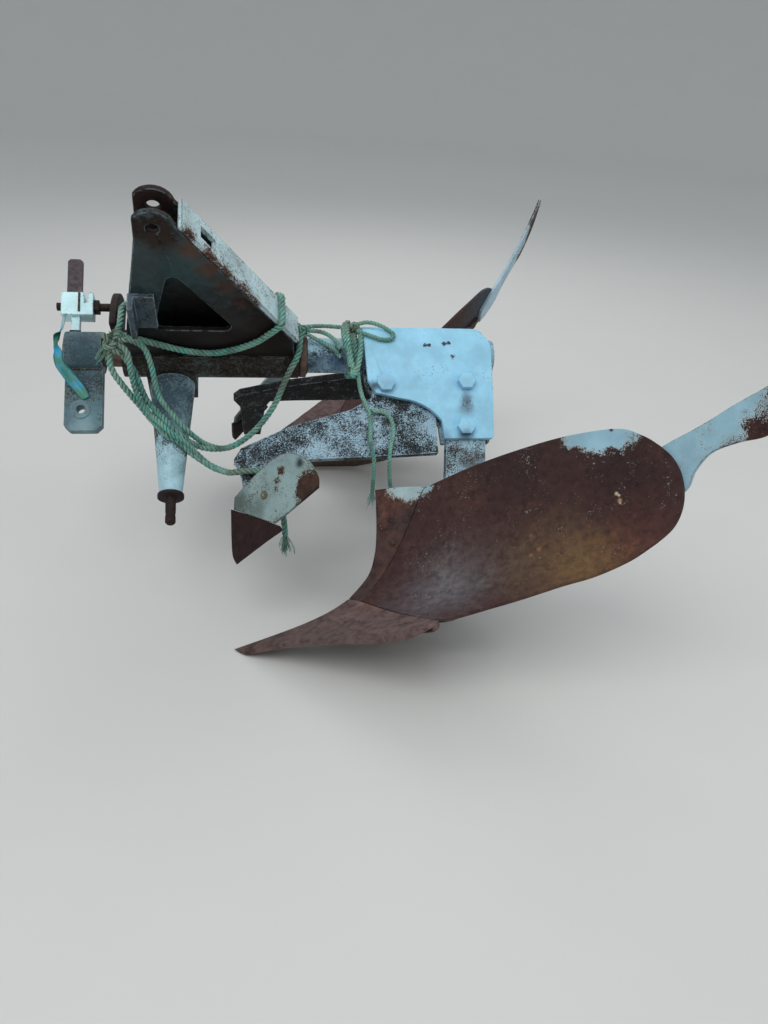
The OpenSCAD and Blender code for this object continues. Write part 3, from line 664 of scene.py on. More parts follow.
def smooth_path(points, count):
    """Evenly spaced points on a smooth curve through the given ones."""
    fine = [along(points, k / 400) for k in range(401)]
    total = path_length(fine)
    path, run, k = [fine[0]], 0.0, 0
    for step in range(1, count - 1):
        goal = total * step / (count - 1)
        while run + (fine[k + 1] - fine[k]).length < goal:
            run += (fine[k + 1] - fine[k]).length
            k += 1
        path.append(fine[k].lerp(fine[k + 1], (goal - run) / (fine[k + 1] - fine[k]).length))
    return [*path, fine[-1]]


def line_object(name, lines):
    """A curve object with one poly spline for each line."""
    data = bpy.data.curves.new(name, "CURVE")
    data.dimensions = "3D"
    for line in lines:
        part = data.splines.new("POLY")
        part.points.add(len(line) - 1)
        for point, at in zip(part.points, line):
            point.co = (*at, 1)
    obj = bpy.data.objects.new(name, data)
    bpy.context.scene.collection.objects.link(obj)
    return obj


def sweep(obj, tree, body, slot, **values):
    """Runs a Geometry Nodes tree on a line object and keeps its result as a plain mesh."""
    modifier = obj.modifiers.new(tree.name, "NODES")
    modifier.node_group = tree
    for item in tree.interface.items_tree:
        key = item.name.replace(" ", "_").lower()
        if item.item_type == "SOCKET" and item.in_out == "INPUT" and key in values:
            modifier[item.identifier] = values[key]
    bpy.context.view_layer.update()
    graph = bpy.context.evaluated_depsgraph_get()
    mesh = bpy.data.meshes.new_from_object(obj.evaluated_get(graph))
    name = obj.name
    bpy.data.objects.remove(obj)
    mesh.name = name
    return dress(bpy.data.objects.new(name, mesh), body)


def finish_tree(tree, sink, geometry, material):
    """Ends a tree: instances made real, and the material set."""
    real = result(tree, "GeometryNodeRealizeInstances", {"Geometry": geometry})
    last = node(tree, "GeometryNodeSetMaterial", {"Geometry": real, "Material": material})
    feed(tree, sink["Geometry"], last.outputs[0])


def tube_end(tree, sink, curve, radius, sides, material, height=1.0):
    """Sweeps a circle along the curve, with the place around and along it kept for the shader."""
    run = node(tree, "GeometryNodeSplineParameter")
    kept = node(tree, "GeometryNodeCaptureAttribute", domain="POINT")
    kept.capture_items.new("FLOAT", "Along")
    feed(tree, kept.inputs["Geometry"], curve)
    feed(tree, kept.inputs["Along"], run.outputs["Length"])
    circle = node(tree, "GeometryNodeCurvePrimitiveCircle", {"Resolution": sides, "Radius": radius})
    round_kept = node(tree, "GeometryNodeCaptureAttribute", domain="POINT")
    round_kept.capture_items.new("FLOAT", "Around")
    feed(tree, round_kept.inputs["Geometry"], circle.outputs["Curve"])
    feed(
        tree, round_kept.inputs["Around"],
        node(tree, "GeometryNodeSplineParameter").outputs["Factor"]
    )
    mesh = node(
        tree, "GeometryNodeCurveToMesh",
        {
            "Curve": kept.outputs["Geometry"], "Profile Curve": round_kept.outputs["Geometry"],
            "Fill Caps": True,
        },
    ).outputs["Mesh"]
    place = result(
        tree, "ShaderNodeCombineXYZ",
        {"X": round_kept.outputs["Around"], "Y": kept.outputs["Along"], "Z": height},
    )
    stored = result(
        tree, "GeometryNodeStoreNamedAttribute", {"Geometry": mesh, "Name": "lay", "Value": place},
        data_type="FLOAT_VECTOR", domain="POINT",
    )
    smooth = result(tree, "GeometryNodeSetShadeSmooth", {"Geometry": stored})
    finish_tree(tree, sink, smooth, material)


# Radius of a strand, and of the helix it runs along, as a share of the rope's diameter
STRAND_SHARE = 0.26


@node_group(
    "Laid Rope", GEOMETRY_TREE,
    [
        ("Geometry", GEOMETRY), ("Diameter", FLOAT, 0.014), ("Strands", INTEGER, 3),
        ("Turn Length", FLOAT, 0.034), ("Step", FLOAT, 0.003), ("Material", MATERIAL),
    ],
    [("Geometry", GEOMETRY)],
)
def laid_rope_tree(tree, source, sink):
    """Strands that wind round each line of a curve, as in a hawser-laid rope."""
    even = result(
        tree, "GeometryNodeResampleCurve", {"Curve": source["Geometry"], "Length": source["Step"]},
        mode="LENGTH",
    )
    copies = node(
        tree, "GeometryNodeDuplicateElements", {"Geometry": even, "Amount": source["Strands"]},
        domain="SPLINE",
    ).outputs
    spot = result(tree, "GeometryNodeInputPosition")
    core = node(tree, "GeometryNodeCaptureAttribute", domain="POINT")
    core.capture_items.new("VECTOR", "Core")
    feed(tree, core.inputs["Geometry"], copies["Geometry"])
    feed(tree, core.inputs["Core"], spot)
    share = per(tree, copies["Duplicate Index"], source["Strands"])
    run = node(tree, "GeometryNodeSplineParameter").outputs["Length"]
    turns = plus(tree, share, per(tree, run, source["Turn Length"]))
    side = result(
        tree, "ShaderNodeVectorRotate",
        {
            "Vector": result(tree, "GeometryNodeInputNormal"),
            "Axis": result(tree, "GeometryNodeInputTangent"), "Angle": times(tree, turns, math.tau),
        },
    )
    radius = times(tree, source["Diameter"], STRAND_SHARE)
    offset = result(tree, "ShaderNodeVectorMath", {0: side, "Scale": radius}, operation="SCALE")
    moved = result(
        tree, "GeometryNodeSetPosition", {"Geometry": core.outputs["Geometry"], "Offset": offset},
    )
    away = node(
        tree, "ShaderNodeVectorMath", {0: spot, 1: core.outputs["Core"]}, operation="DISTANCE",
    ).outputs["Value"]
    # Distance from the rope's core, which the shader turns into painted shade between strands
    height = per(tree, away, source["Diameter"])
    tube_end(tree, sink, moved, radius, 8, source["Material"], height)


@node_group(
    "Fibres", GEOMETRY_TREE,
    [
        ("Geometry", GEOMETRY), ("Radius", FLOAT, 0.0006), ("Sides", INTEGER, 4),
        ("Material", MATERIAL),
    ],
    [("Geometry", GEOMETRY)],
)
def fibre_tree(tree, source, sink):
    """Thin round fibres along the lines of a curve."""
    tube_end(tree, sink, source["Geometry"], source["Radius"], source["Sides"], source["Material"])


def rope_material():
    """Faded green polypropylene: fibres along the lay, painted shade between strands, with pale crowns."""
    material, tree, shader, place = new_material("faded_green_rope")
    lay = node(tree, "ShaderNodeAttribute", attribute_name="lay").outputs["Vector"]
    thread = result(tree, "ShaderNodeMapping", {"Vector": lay, "Scale": (9, 70, 1)})
    fibre = cloud(tree, thread, 3.0, 3.0, 0.6)
    fade = cloud(tree, place, 16.0, 4.0, 0.6, 0.3)
    patch_noise = cloud(tree, place, 60.0, 3.0, 0.6)
    green, pale, dark = screen((78, 132, 122)), screen((124, 168, 152)), screen((30, 50, 46))
    tone = blend_colour(tree, ease(tree, fade, 0.36, 0.62), green, pale)
    crown = times(tree, ease(tree, fibre, 0.50, 0.70), 0.75)
    tone = blend_colour(tree, crown, tone, screen((172, 208, 192)))
    teal = times(tree, ease(tree, patch_noise, 0.56, 0.66), 0.75)
    tone = blend_colour(tree, teal, tone, screen((66, 190, 178)))
    grime = times(tree, ease(tree, cloud(tree, place, 26.0, 4.0), 0.54, 0.68), 0.55)
    tone = blend_colour(tree, grime, tone, screen((74, 78, 66)))
    for centre, radius in (
        (head_at(-112, -56, 122), 0.075), (head_at(252, -70, 0), 0.070),
        (head_at(150, -296, -12), 0.060), (near_at(408, 30, -50), 0.060),
        (near_at(450, 10, -74), 0.060),
    ):
        tone = blend_in_wash(tree, place, tone, screen((120, 122, 104)), centre, radius, 0.62)
    gap = times(tree, ease(tree, fibre, 0.44, 0.32), 0.5)
    tone = blend_colour(tree, gap, tone, dark)
    # Darker where the surface lies near the rope's core, in the valleys between strands: painted shade
    depth = node(tree, "ShaderNodeSeparateXYZ", {0: lay}).outputs["Z"]
    tone = blend_colour(tree, ease(tree, depth, 0.47, 0.34), tone, dark)
    feed(tree, shader.inputs["Base Color"], tone)
    shader.inputs["Roughness"].default_value = 0.74
    add_bump(tree, shader, fibre, 0.6, 0.0008)
    return material


def knot_line(centre, size, turn, count=60):
    """A trefoil round a centre, drawn tight enough to read as a knot."""
    line = []
    for k in range(count + 1):
        t = math.tau * k / count
        at = Vector(
            (
                math.sin(t) + 2 * math.sin(2 * t), math.cos(t) - 2 * math.cos(2 * t),
                -1.5 * math.sin(3 * t),
            )
        )
        line.append(centre + turn @ (at * size / 3))
    return line


def frayed(end, direction, count, reach, rng):
    """Loose fibres that leave a cut end, spread and droop."""
    lines = []
    for _ in range(count):
        spread = Vector([rng.uniform(-1, 1) for _ in range(3)]) * 0.55
        root = end + Vector([rng.uniform(-1, 1) for _ in range(3)]) * 0.004
        way = (direction.normalized() + spread) * reach * rng.uniform(0.5, 1.0)
        sag = Vector((0, 0, -0.35 * reach))
        curl = Vector([rng.uniform(-1, 1) for _ in range(3)]) * reach * 0.22
        lines.append(
            [
                root + way * t + sag * t * t + curl * math.sin(3 * t) * t
                for t in (0, 0.25, 0.5, 0.75, 1)
            ]
        )
    return lines


PATH_STEP = 0.02
KNOT_STRAND = 0.0125
KNOT_TURN = 0.030
# A rope's strands go once round in this many diameters
ROPE_TURN = 2.4
COIL_RADIUS = 0.0474
COIL_STEPS = 30

WRAPS = (
    [
        (403, 10, -66), (398, 34, -57), (395, 52, -36), (395, 61, -6), (398, 60, 24), (403, 53, 50),
        (409, 48, 74)
    ],
    [
        (416, 12, -66), (422, 36, -55), (425, 54, -30), (424, 60, 0), (419, 58, 34), (413, 52, 58),
        (404, 50, 72), (396, 52, 62)
    ],
    [
        (408, 4, -70), (399, 24, -66), (390, 40, -52), (387, 54, -26), (390, 60, 4), (396, 58, 30),
        (399, 54, 52)
    ],
)


class PLOUGH_OT_ropes(bpy.types.Operator):
    """Old ropes that lash the headstock and hang from the beam, with their knots and frayed ends"""

    bl_idname = "plough.ropes"
    bl_label = "Ropes"

    def execute(self, context):
        rng = random.Random(11)
        material = rope_material()

        def lay_rope(name, lines, body, diameter=KNOT_STRAND, turn_length=KNOT_TURN):
            return sweep(
                line_object(name, lines), laid_rope_tree(), body, "green_rope", diameter=diameter,
                turn_length=turn_length, material=material,
            )

        paths = {}
        for name, (place, *_, route) in ROUTES.items():
            points = [place(*point) for point in route]
            count = min(40, max(15, round(path_length(points) / PATH_STEP)))
            paths[name] = smooth_path(points, count)
        turn = Matrix.Rotation(0.6, 3, "X") @ Matrix.Rotation(0.5, 3, "Y")
        knots = [
            knot_line(head_at(-114, -58, 124), 0.0165, turn),
            knot_line(head_at(-102, -62, 112), 0.0155, turn @ Matrix.Rotation(1.2, 3, "Y")),
            knot_line(head_at(-92, -54, 132), 0.0120, turn @ Matrix.Rotation(2.2, 3, "X")),
            knot_line(head_at(288, 19, 69), 0.0125, turn @ Matrix.Rotation(0.7, 3, "X")),
        ]
        head_knots = lay_rope("rope_knots_tied", knots, "headstock")
        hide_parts("rope_knots")
        strands = [smooth_path([head_at(*point) for point in route], 60) for route in STRANDS]
        head_strands = lay_rope("rope_laid_strands", strands, "headstock")
        coil, count = [], 2 * COIL_STEPS + 19
        for k in range(count):
            a = math.tau * k / COIL_STEPS
            station = (399 + 22 * k / count) / 1000
            coil.append(
                NEAR @ Vector((station, COIL_RADIUS * math.sin(a), COIL_RADIUS * math.cos(a)))
            )
        wraps = [smooth_path([near_at(*point) for point in route], 40) for route in WRAPS]
        tied = knot_line(near_at(410, 6, -64), 0.0185, turn)
        second = knot_line(near_at(402, 20, -62), 0.0130, turn @ Matrix.Rotation(1.0, 3, "Z"))
        lashing = lay_rope("rope_lashing_tied", [coil, tied, second, *wraps], "plough")
        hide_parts("rope_lashing")
        tufts = {}
        for name, ends in {
            "rope_tie": [
                (head_at(-122, -62, 112), head_at(-138, -68, 96), 60, 0.026),
                (head_at(-112, -52, 134), head_at(-108, -50, 156), 18, 0.018),
            ],
            "rope_tail_front": [(paths["rope_tail_front"][-1], None, 26, 0.020)],
            "rope_tail_rear": [(paths["rope_tail_rear"][-1], None, 30, 0.024)],
            "rope_loop_end": [(paths["rope_loop_end"][-1], None, 44, 0.034)],
        }.items():
            lines = []
            for end, goal, count, reach in ends:
                way = goal - end if goal else end - paths[name][-2]
                lines += frayed(end, way, count, reach, rng)
            tufts[name] = sweep(
                line_object(name.replace("rope_", "rope_frays_"), lines), fibre_tree(),
                "headstock" if name == "rope_tie" else "plough", "green_rope", radius=0.0007,
                material=material,
            )
        for name, (place, diameter, far_end, lay, _) in ROUTES.items():
            path = paths[name]
            piece = lay_rope(
                name.replace("rope_", "rope_laid_"), [path],
                "headstock" if place is head_at else "plough", diameter / 1000,
                ROPE_TURN * diameter / 1000,
            )
            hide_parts(name)
            extras = {
                "rope_tie": [head_knots], "rope_loop_short": [head_strands], "rope_eye": [lashing],
            }.get(name, [])
            extras += [tufts[name]] if name in tufts else []
            path_length(path)
            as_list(extras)
        return {"FINISHED"}


# Torn plastic strip that hangs from the latch


def ribbon(path, widths, twists, thick):
    """Thin strip along a path, bowed across, with a width and a twist at each point."""
    verts, across = [], 4
    for k, at in enumerate(path):
        way = (path[min(k + 1, len(path) - 1)] - path[max(k - 1, 0)]).normalized()
        share = k / (len(path) - 1)
        turn = Quaternion(way, along([Vector((t, 0, 0)) for t in twists], share).x)
        out = turn @ (NEAR.to_3x3() @ Vector((0, -1, 0)))
        side = way.cross(out).normalized()
        half = along([Vector((w, 0, 0)) for w in widths], share).x / 2
        for layer in (0, 1):
            for j in range(across + 1):
                x = 2 * j / across - 1
                ripple = 0.0012 * math.sin(9 * share + 2 * x)
                point = at + side * half * x + out * (layer * thick + ripple - 0.18 * half * x * x)
                point.x = max(point.x, CAD_BOX[0][0])
                verts.append(point)
    ring = across + 1
    faces = []
    for k in range(len(path) - 1):
        a, b = 2 * ring * k, 2 * ring * (k + 1)
        for j in range(across):
            faces.append((a + j, a + j + 1, b + j + 1, b + j))
            faces.append((a + ring + j, b + ring + j, b + ring + j + 1, a + ring + j + 1))
        faces.append((a, b, b + ring, a + ring))
        faces.append((a + across, a + ring + across, b + ring + across, b + across))
    last = 2 * ring * (len(path) - 1)
    for j in range(across):
        faces.append((j, ring + j, ring + j + 1, j + 1))
        faces.append((last + j, last + j + 1, last + ring + j + 1, last + ring + j))
    return verts, faces


def strip_material():
    """Crumpled blue plastic that has faded to green in places."""
    material, tree, shader, place = new_material("torn_plastic")
    fade = cloud(tree, place, 34.0, 4.0, 0.6)
    tone = blend_colour(
        tree, ease(tree, fade, 0.36, 0.60), screen((24, 150, 196)), screen((44, 122, 112))
    )
    for centre, radius, colour in (
        (near_at(-246, 19, -20), 0.030, (30, 104, 84)),
        (near_at(-232, 19, -66), 0.026, (150, 178, 180)),
        (near_at(-186, 20, 104), 0.030, (38, 120, 92)),
    ):
        tone = blend_in_wash(tree, place, tone, screen(colour), centre, radius)
    feed(tree, shader.inputs["Base Color"], tone)
    creases = cloud(tree, place, 90.0, 4.0, 0.6, 0.8)
    feed(tree, shader.inputs["Roughness"], blend_value(tree, creases, 0.30, 0.52))
    add_bump(tree, shader, creases, 0.5, 0.001)
    return material


class PLOUGH_OT_strip(bpy.types.Operator):
    """Torn strip of blue plastic tied to the latch"""

    bl_idname = "plough.strip"
    bl_label = "Plastic Strip"

    def execute(self, context):
        route = [
            (-228, 21, -83), (-232, 21, -62), (-236, 21, -42), (-245, 22, -28), (-246, 23, -10),
            (-240, 24, 8), (-238, 24, 24), (-232, 26, 42), (-219, 22, 60), (-204, 18, 80),
            (-190, 16, 98), (-180, 16, 114)
        ]
        path = smooth_path([near_at(*point) for point in route], 60)
        widths = [
            0.006, 0.007, 0.010, 0.016, 0.012, 0.020, 0.022, 0.023, 0.024, 0.024, 0.023, 0.017
        ]
        twists = [0.0, 0.5, 1.1, 2.4, 3.4, 3.3, 3.1, 3.1, 3.2, 3.3, 3.2, 3.0]
        verts, faces = ribbon(path, widths, twists, 0.0008)
        add_piece("plastic_strip", verts, faces, strip_material(), "plough")
        return {"FINISHED"}


# Worked plates: the same surfaces as the frame's, finer, with dents and worn edges


def patch(bottom, top, front, rear, u, v):
    return (
        (1 - v) * along(bottom, u) + v * along(top, u) + (1 - u) * along(front, v)
        + u * along(rear, v) - (1 - u) * (1 - v) * bottom[0] - u * (1 - v) * bottom[-1]
        - (1 - u) * v * top[0] - u * v * top[-1]
    )


BODY_DEPTH = 668.0
POINT_X = 128.0
SHIN_X = 447.0
THROAT_H = 73.0
THROAT_SOFT = 5.0
THROAT_POWER = 1.25
THROAT_LEN = (SHIN_X - POINT_X) / math.exp(-((THROAT_SOFT / THROAT_H) ** THROAT_POWER))
SHARE_ANGLE = 38.0
TOP_ANGLE = 43.5
SKIM_DEPTH = 494.0
SKIM_DROP = 60.0
SKIM_X = 128.0
SEAM = 1.5
BOARD_T = 7.0
SEAT = 0.3
LAYER_IN = 14.15


def throat(h):
    return SHIN_X - THROAT_LEN * math.exp(-(((max(h, 0) + THROAT_SOFT) / THROAT_H) ** THROAT_POWER))


def board_offset(s, h):
    angle = math.radians(SHARE_ANGLE + (TOP_ANGLE - SHARE_ANGLE) * h / 300)
    return math.tan(angle) * (s - throat(h)) + 0.0016 * max(0, s - 800) ** 2


def skim_offset(s, h):
    return (
        LAYER_IN + 26 + math.tan(math.radians(42)) * (s - SKIM_X - 12)
        + 0.0012 * max(0, h - 120) ** 2
    )


SURFACES = {"main": (board_offset, BODY_DEPTH), "skimmer": (skim_offset, SKIM_DEPTH)}


def behind(kind, s, h, depth):
    """Body-frame point at a depth in millimetres behind a working surface, and its normal."""
    offset, drop = SURFACES[kind]
    ds = (offset(s + 1, h) - offset(s - 1, h)) / 2
    dh = (offset(s, h + 1) - offset(s, h - 1)) / 2
    n = math.sqrt(1 + ds * ds + dh * dh)
    normal = Vector((-ds, -1, -dh)) / n
    point = Vector((s, -offset(s, h), h - drop)) - normal * depth
    return point / 1000, normal


def plane(*points):
    return [Vector(p) for p in points]


SHARE_TOP = plane((throat(96), 96), (398, 85), (456, 42), (509, 14))
SHIN_BACK = plane((398, 85), (434, 124), (471, 175), (508, 246), (534, 308), (546, 322))
LOW = 96 + SEAM
TAIL_END = plane((1062, 332), (1066, 352), (1060, 374))
BOARD_FRONT = [p + Vector((0, 2 * SEAM if i == 0 else 0)) for i, p in enumerate(SHIN_BACK)]
HALF = SEAM / 2

SKIM_SEAM = plane((SKIM_X + 4, 120), (172, 96), (213, 71))
MAIN_REAR = plane(
    (885, 122), (908, 142), (922, 168), (928, 200), (926, 236), (917, 268), (903, 294)
)

PLATES = {
    "share": dict(
        kind="main",
        bottom=plane(
            (POINT_X, 0), (142, -10), (157, -14), (200, -11), (236, -8), (316, -12), (367, -17),
            (405, -20), (448, -18), (480, -7), (502, 6)
        ),
        top=SHARE_TOP, front=[Vector((throat(24 * k), 24 * k)) for k in range(5)],
        rear=plane((502, 6), (506, 10), (509, 14)), steps=(90, 24), thick=11, edge=2,
    ),
    "shin": dict(
        kind="main", bottom=plane((throat(LOW), LOW), (398 - SEAM, 85 + SEAM)),
        top=plane((throat(342), 342), (500, 334), (546 - SEAM, 322)),
        front=[Vector((throat(h), h)) for h in (LOW + (342 - LOW) * k / 5 for k in range(6))],
        rear=[p + Vector((-SEAM, SEAM if i == 0 else 0)) for i, p in enumerate(SHIN_BACK)],
        steps=(20, 52), thick=9, edge=9,
    ),
    "moldboard": dict(
        kind="main",
        bottom=[
            BOARD_FRONT[0],
            *plane(
                (457, 42 + 2 * SEAM), (509, 14 + 2 * SEAM), (552, 23), (606, 35), (660, 47),
                (728, 64), (785, 76), (843, 97)
            ),
            MAIN_REAR[0],
        ],
        top=[
            BOARD_FRONT[5], *plane((632, 343), (716, 354), (786, 356), (850, 346), (882, 321)),
            MAIN_REAR[-1],
        ],
        front=BOARD_FRONT, rear=MAIN_REAR, steps=(90, 54), thick=BOARD_T, edge=BOARD_T,
    ),
    "tail_piece": dict(
        kind="main",
        bottom=plane(
            (880, 190), (912, 196), (931, 210), (940, 236), (958, 260), (985, 265), (1013, 264),
            (1044, 292), (1062, 332)
        ),
        top=plane(
            (868, 256), (888, 282), (909, 296), (932, 305), (953, 314), (979, 328), (1012, 342),
            (1038, 358), (1060, 374)
        ),
        front=plane((880, 190), (868, 256)), rear=TAIL_END, steps=(56, 16),
        depth=BOARD_T + 2 * SEAT, thick=8, edge=8,
    ),
    "skimmer_board": dict(
        kind="skimmer", bottom=SKIM_SEAM,
        top=plane(
            (SKIM_X + 6, 146), (170, 177), (209, 204), (246, 211), (280, 188), (299, 152),
            (300, 125)
        ),
        front=[SKIM_SEAM[0], Vector((SKIM_X + 6, 146))],
        rear=[SKIM_SEAM[2], *plane((236, 84), (260, 99), (300, 125))], steps=(36, 28), thick=6,
        edge=6,
    ),
    "skimmer_share": dict(
        kind="skimmer", bottom=plane((SKIM_X + 8, 0), (184, 28), (227, 52)),
        top=plane((SKIM_X - 2, 122), (172, 96 - HALF), (222, 64)),
        front=plane((SKIM_X + 8, 0), (SKIM_X, 20), (SKIM_X - 2, 60), (SKIM_X - 2, 122)),
        rear=plane((227, 52), (222, 64)), steps=(24, 18), thick=8, edge=2,
    ),
}


def worked_plate(kind, bottom, top, front, rear, steps, thick, edge, depth=0, seed=0.0):
    """Closed shell between the working surface and its back, with shallow dents in both."""
    dents = settings("plates").dents
    columns, rows = steps
    verts = []
    for back in (0, 1):
        for i in range(columns + 1):
            for j in range(rows + 1):
                u, v = i / columns, j / rows
                at = patch(bottom, top, front, rear, u, v)
                wall = edge + (thick - edge) * min(1, 4 * v)
                rim = min(1.0, 14 * min(u, 1 - u), 14 * min(v, 1 - v))
                bump = noise.noise(Vector((at.x * 0.011, at.y * 0.014, seed)))
                bump += 0.3 * noise.noise(Vector((at.x * 0.045, at.y * 0.05, seed + 9)))
                point, normal = behind(kind, at.x, at.y, depth + back * wall)
                verts.append(point - normal * dents * rim * (0.6 + bump))
    count = (columns + 1) * (rows + 1)

    def spot(i, j):
        return i * (rows + 1) + j

    faces = []
    for i in range(columns):
        for j in range(rows):
            quad = (spot(i, j), spot(i, j + 1), spot(i + 1, j + 1), spot(i + 1, j))
            faces.append(quad)
            faces.append(tuple(count + k for k in reversed(quad)))
    rim = [spot(i, 0) for i in range(columns)]
    rim += [spot(columns, j) for j in range(rows)]
    rim += [spot(i, rows) for i in range(columns, 0, -1)]
    rim += [spot(0, j) for j in range(rows, 0, -1)]
    for a, b in zip(rim, rim[1:] + rim[:1]):
        faces.append((a, b, b + count, a + count))
    return verts, faces


def side_place(side, kind):
    """Frame of one side's body, where the far skimmer is clamped deeper than the near one."""
    if kind == "skimmer" and side == "far":
        return FAR @ Matrix.Translation((0, 0, -SKIM_DROP / 1000))
    return SIDES[side]


def face_place(side, s, h, kind="main", depth=0):
    """Row-frame point and normal on a working surface of one side."""
    point, normal = behind(kind, s, h, depth)
    place = side_place(side, kind)
    return place @ point, place.to_3x3() @ normal


# Finishes of the worked plates, with each zone's place as (station, height) on its plate
PLATE_FINISHES = {
    "moldboard": dict(
        name="rusted_board", cover=0.98, paint=(152, 190, 208),
        metal=((54, 37, 36), (71, 49, 47), (88, 62, 55)), rim=(206, 196, 172), edge=0.10,
        chip_scale=18, rust_scale=11, grime=0.05, relief=0.8,
        paint_zones=[
            (822, 350, 0.042, 0.62), (786, 352, 0.026, 0.40), (858, 338, 0.034, 0.50),
            (538, 322, 0.020, 0.50),
        ],
        washes=[
            (846, 227, 0.0055, (206, 188, 164), 1.0), (849, 223, 0.004, (214, 200, 180), 1.0),
            (850, 213, 0.007, (176, 140, 116), 0.9), (850, 208, 0.004, (206, 180, 150), 0.9),
            (708, 136, 0.007, (150, 108, 84), 0.8), (722, 146, 0.008, (150, 106, 82), 0.8),
            (713, 176, 0.005, (128, 94, 76), 0.7), (830, 366, 0.007, (34, 34, 40), 0.9),
            (842, 347, 0.006, (30, 34, 44), 1.0),
        ],
        tints=[
            (520, 70, 0.17, (92, 82, 86), 0.75), (600, 120, 0.16, (90, 74, 72), 0.6),
            (740, 110, 0.16, (104, 80, 58), 0.65), (800, 90, 0.12, (108, 78, 56), 0.5),
            (870, 150, 0.10, (92, 56, 50), 0.5), (860, 270, 0.16, (56, 38, 38), 0.8),
            (700, 330, 0.16, (54, 38, 38), 0.7),
        ],
    ),
    "shin": dict(
        name="rusted_shin", cover=0.98, paint=(170, 196, 200),
        metal=((50, 36, 36), (74, 58, 58), (112, 74, 58)), rim=(206, 190, 168), edge=0.10,
        chip_scale=20, rust_scale=7, paint_zones=[(520, 328, 0.034, 0.52), (487, 338, 0.026, 0.46)],
        tints=[(490, 318, 0.06, (104, 68, 56), 0.7)],
    ),
    "share": dict(
        name="worn_share", cover=1.2, metal=((66, 52, 50), (104, 86, 84), (134, 112, 104)),
        rust_scale=9, gloss=0.6,
        tints=[
            (420, 78, 0.06, (126, 94, 84), 0.7), (160, 10, 0.10, (84, 66, 60), 0.8),
            (300, -10, 0.10, (92, 80, 74), 0.5),
        ],
    ),
    "tail_piece": dict(
        name="tail_paint", cover=0.10, paint=(152, 190, 206),
        metal=((44, 28, 28), (66, 44, 42), (96, 66, 54)), rim=(196, 176, 146), edge=0.28,
        chip_scale=20,
        bare_zones=[
            (1046, 306, 0.058, 0.50), (1010, 268, 0.040, 0.46), (975, 262, 0.020, 0.30),
            (1062, 350, 0.034, 0.30),
        ],
    ),
    "skimmer_board": dict(
        name="skimmer_paint", cover=0.22, paint=(142, 166, 168),
        metal=((40, 28, 26), (66, 46, 40), (104, 82, 58)), rim=(150, 140, 112), edge=0.34,
        chip_scale=26, grime=0.25,
        bare_zones=[
            (286, 140, 0.028, 0.48), (278, 118, 0.026, 0.40), (230, 178, 0.010, 0.34),
            (224, 160, 0.008, 0.30), (219, 142, 0.006, 0.28),
        ],
        washes=[
            (140, 130, 0.060, (66, 74, 66), 0.8), (180, 108, 0.040, (74, 84, 74), 0.6),
            (268, 184, 0.016, (30, 30, 30), 0.9),
        ],
    ),
    "skimmer_share": dict(
        name="rusted_point", cover=1.2, metal=((30, 19, 20), (46, 29, 29), (66, 42, 38)),
        rust_scale=12,
    ),
}
FAR_FINISHES = {
    "moldboard": dict(paint_zones=(), washes=(), tints=[(880, 290, 0.16, (62, 74, 84), 0.9)]),
    "tail_piece": dict(paint=(170, 200, 216)),
}
ZONE_LISTS = ("bare_zones", "paint_zones", "tints", "washes")
SHARP_RADIUS = 0.0007


def place_zones(finish, place, count):
    """The finish with the first count values of each zone made into a row-frame point."""
    placed = dict(finish)
    for key in ZONE_LISTS:
        placed[key] = [(place(*zone[:count]), *zone[count:]) for zone in finish.get(key, ())]
    return placed


def plate_material(part, side):
    finish = {**PLATE_FINISHES[part], **(FAR_FINISHES.get(part, {}) if side == "far" else {})}

    def place(s, h):
        return face_place(side, s, h, PLATES[part]["kind"])[0]

    name = finish.pop("name")
    return weathered(f"{name}_{side}", **place_zones(finish, place, 2))


class PLOUGH_OT_worked_plates(bpy.types.Operator):
    """Shares, shins, moldboards, tail pieces and skimmer plates of both bodies"""

    bl_idname = "plough.worked_plates"
    bl_label = "Worked Plates"

    def execute(self, context):
        plates = settings("plates")
        for side in SIDES:
            materials = {part: plate_material(part, side) for part in PLATE_FINISHES}
            for index, (part, form) in enumerate(PLATES.items()):
                verts, faces = worked_plate(seed=3.7 * index, **form)
                piece = add_piece(
                    f"worked_{part}_{side}", verts, faces, materials[part], "plough",
                    place=side_place(side, form["kind"]),
                )
                worn = form["edge"] > 4
                round_edges(piece, plates.worn_radius if worn else SHARP_RADIUS, 50)
                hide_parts(f"{part}_{side}")
        return {"FINISHED"}


# Frame nodes keep their shape, and get rounded edges and their own finish


SOOT = ((26, 28, 30), (44, 48, 52), (84, 66, 56))
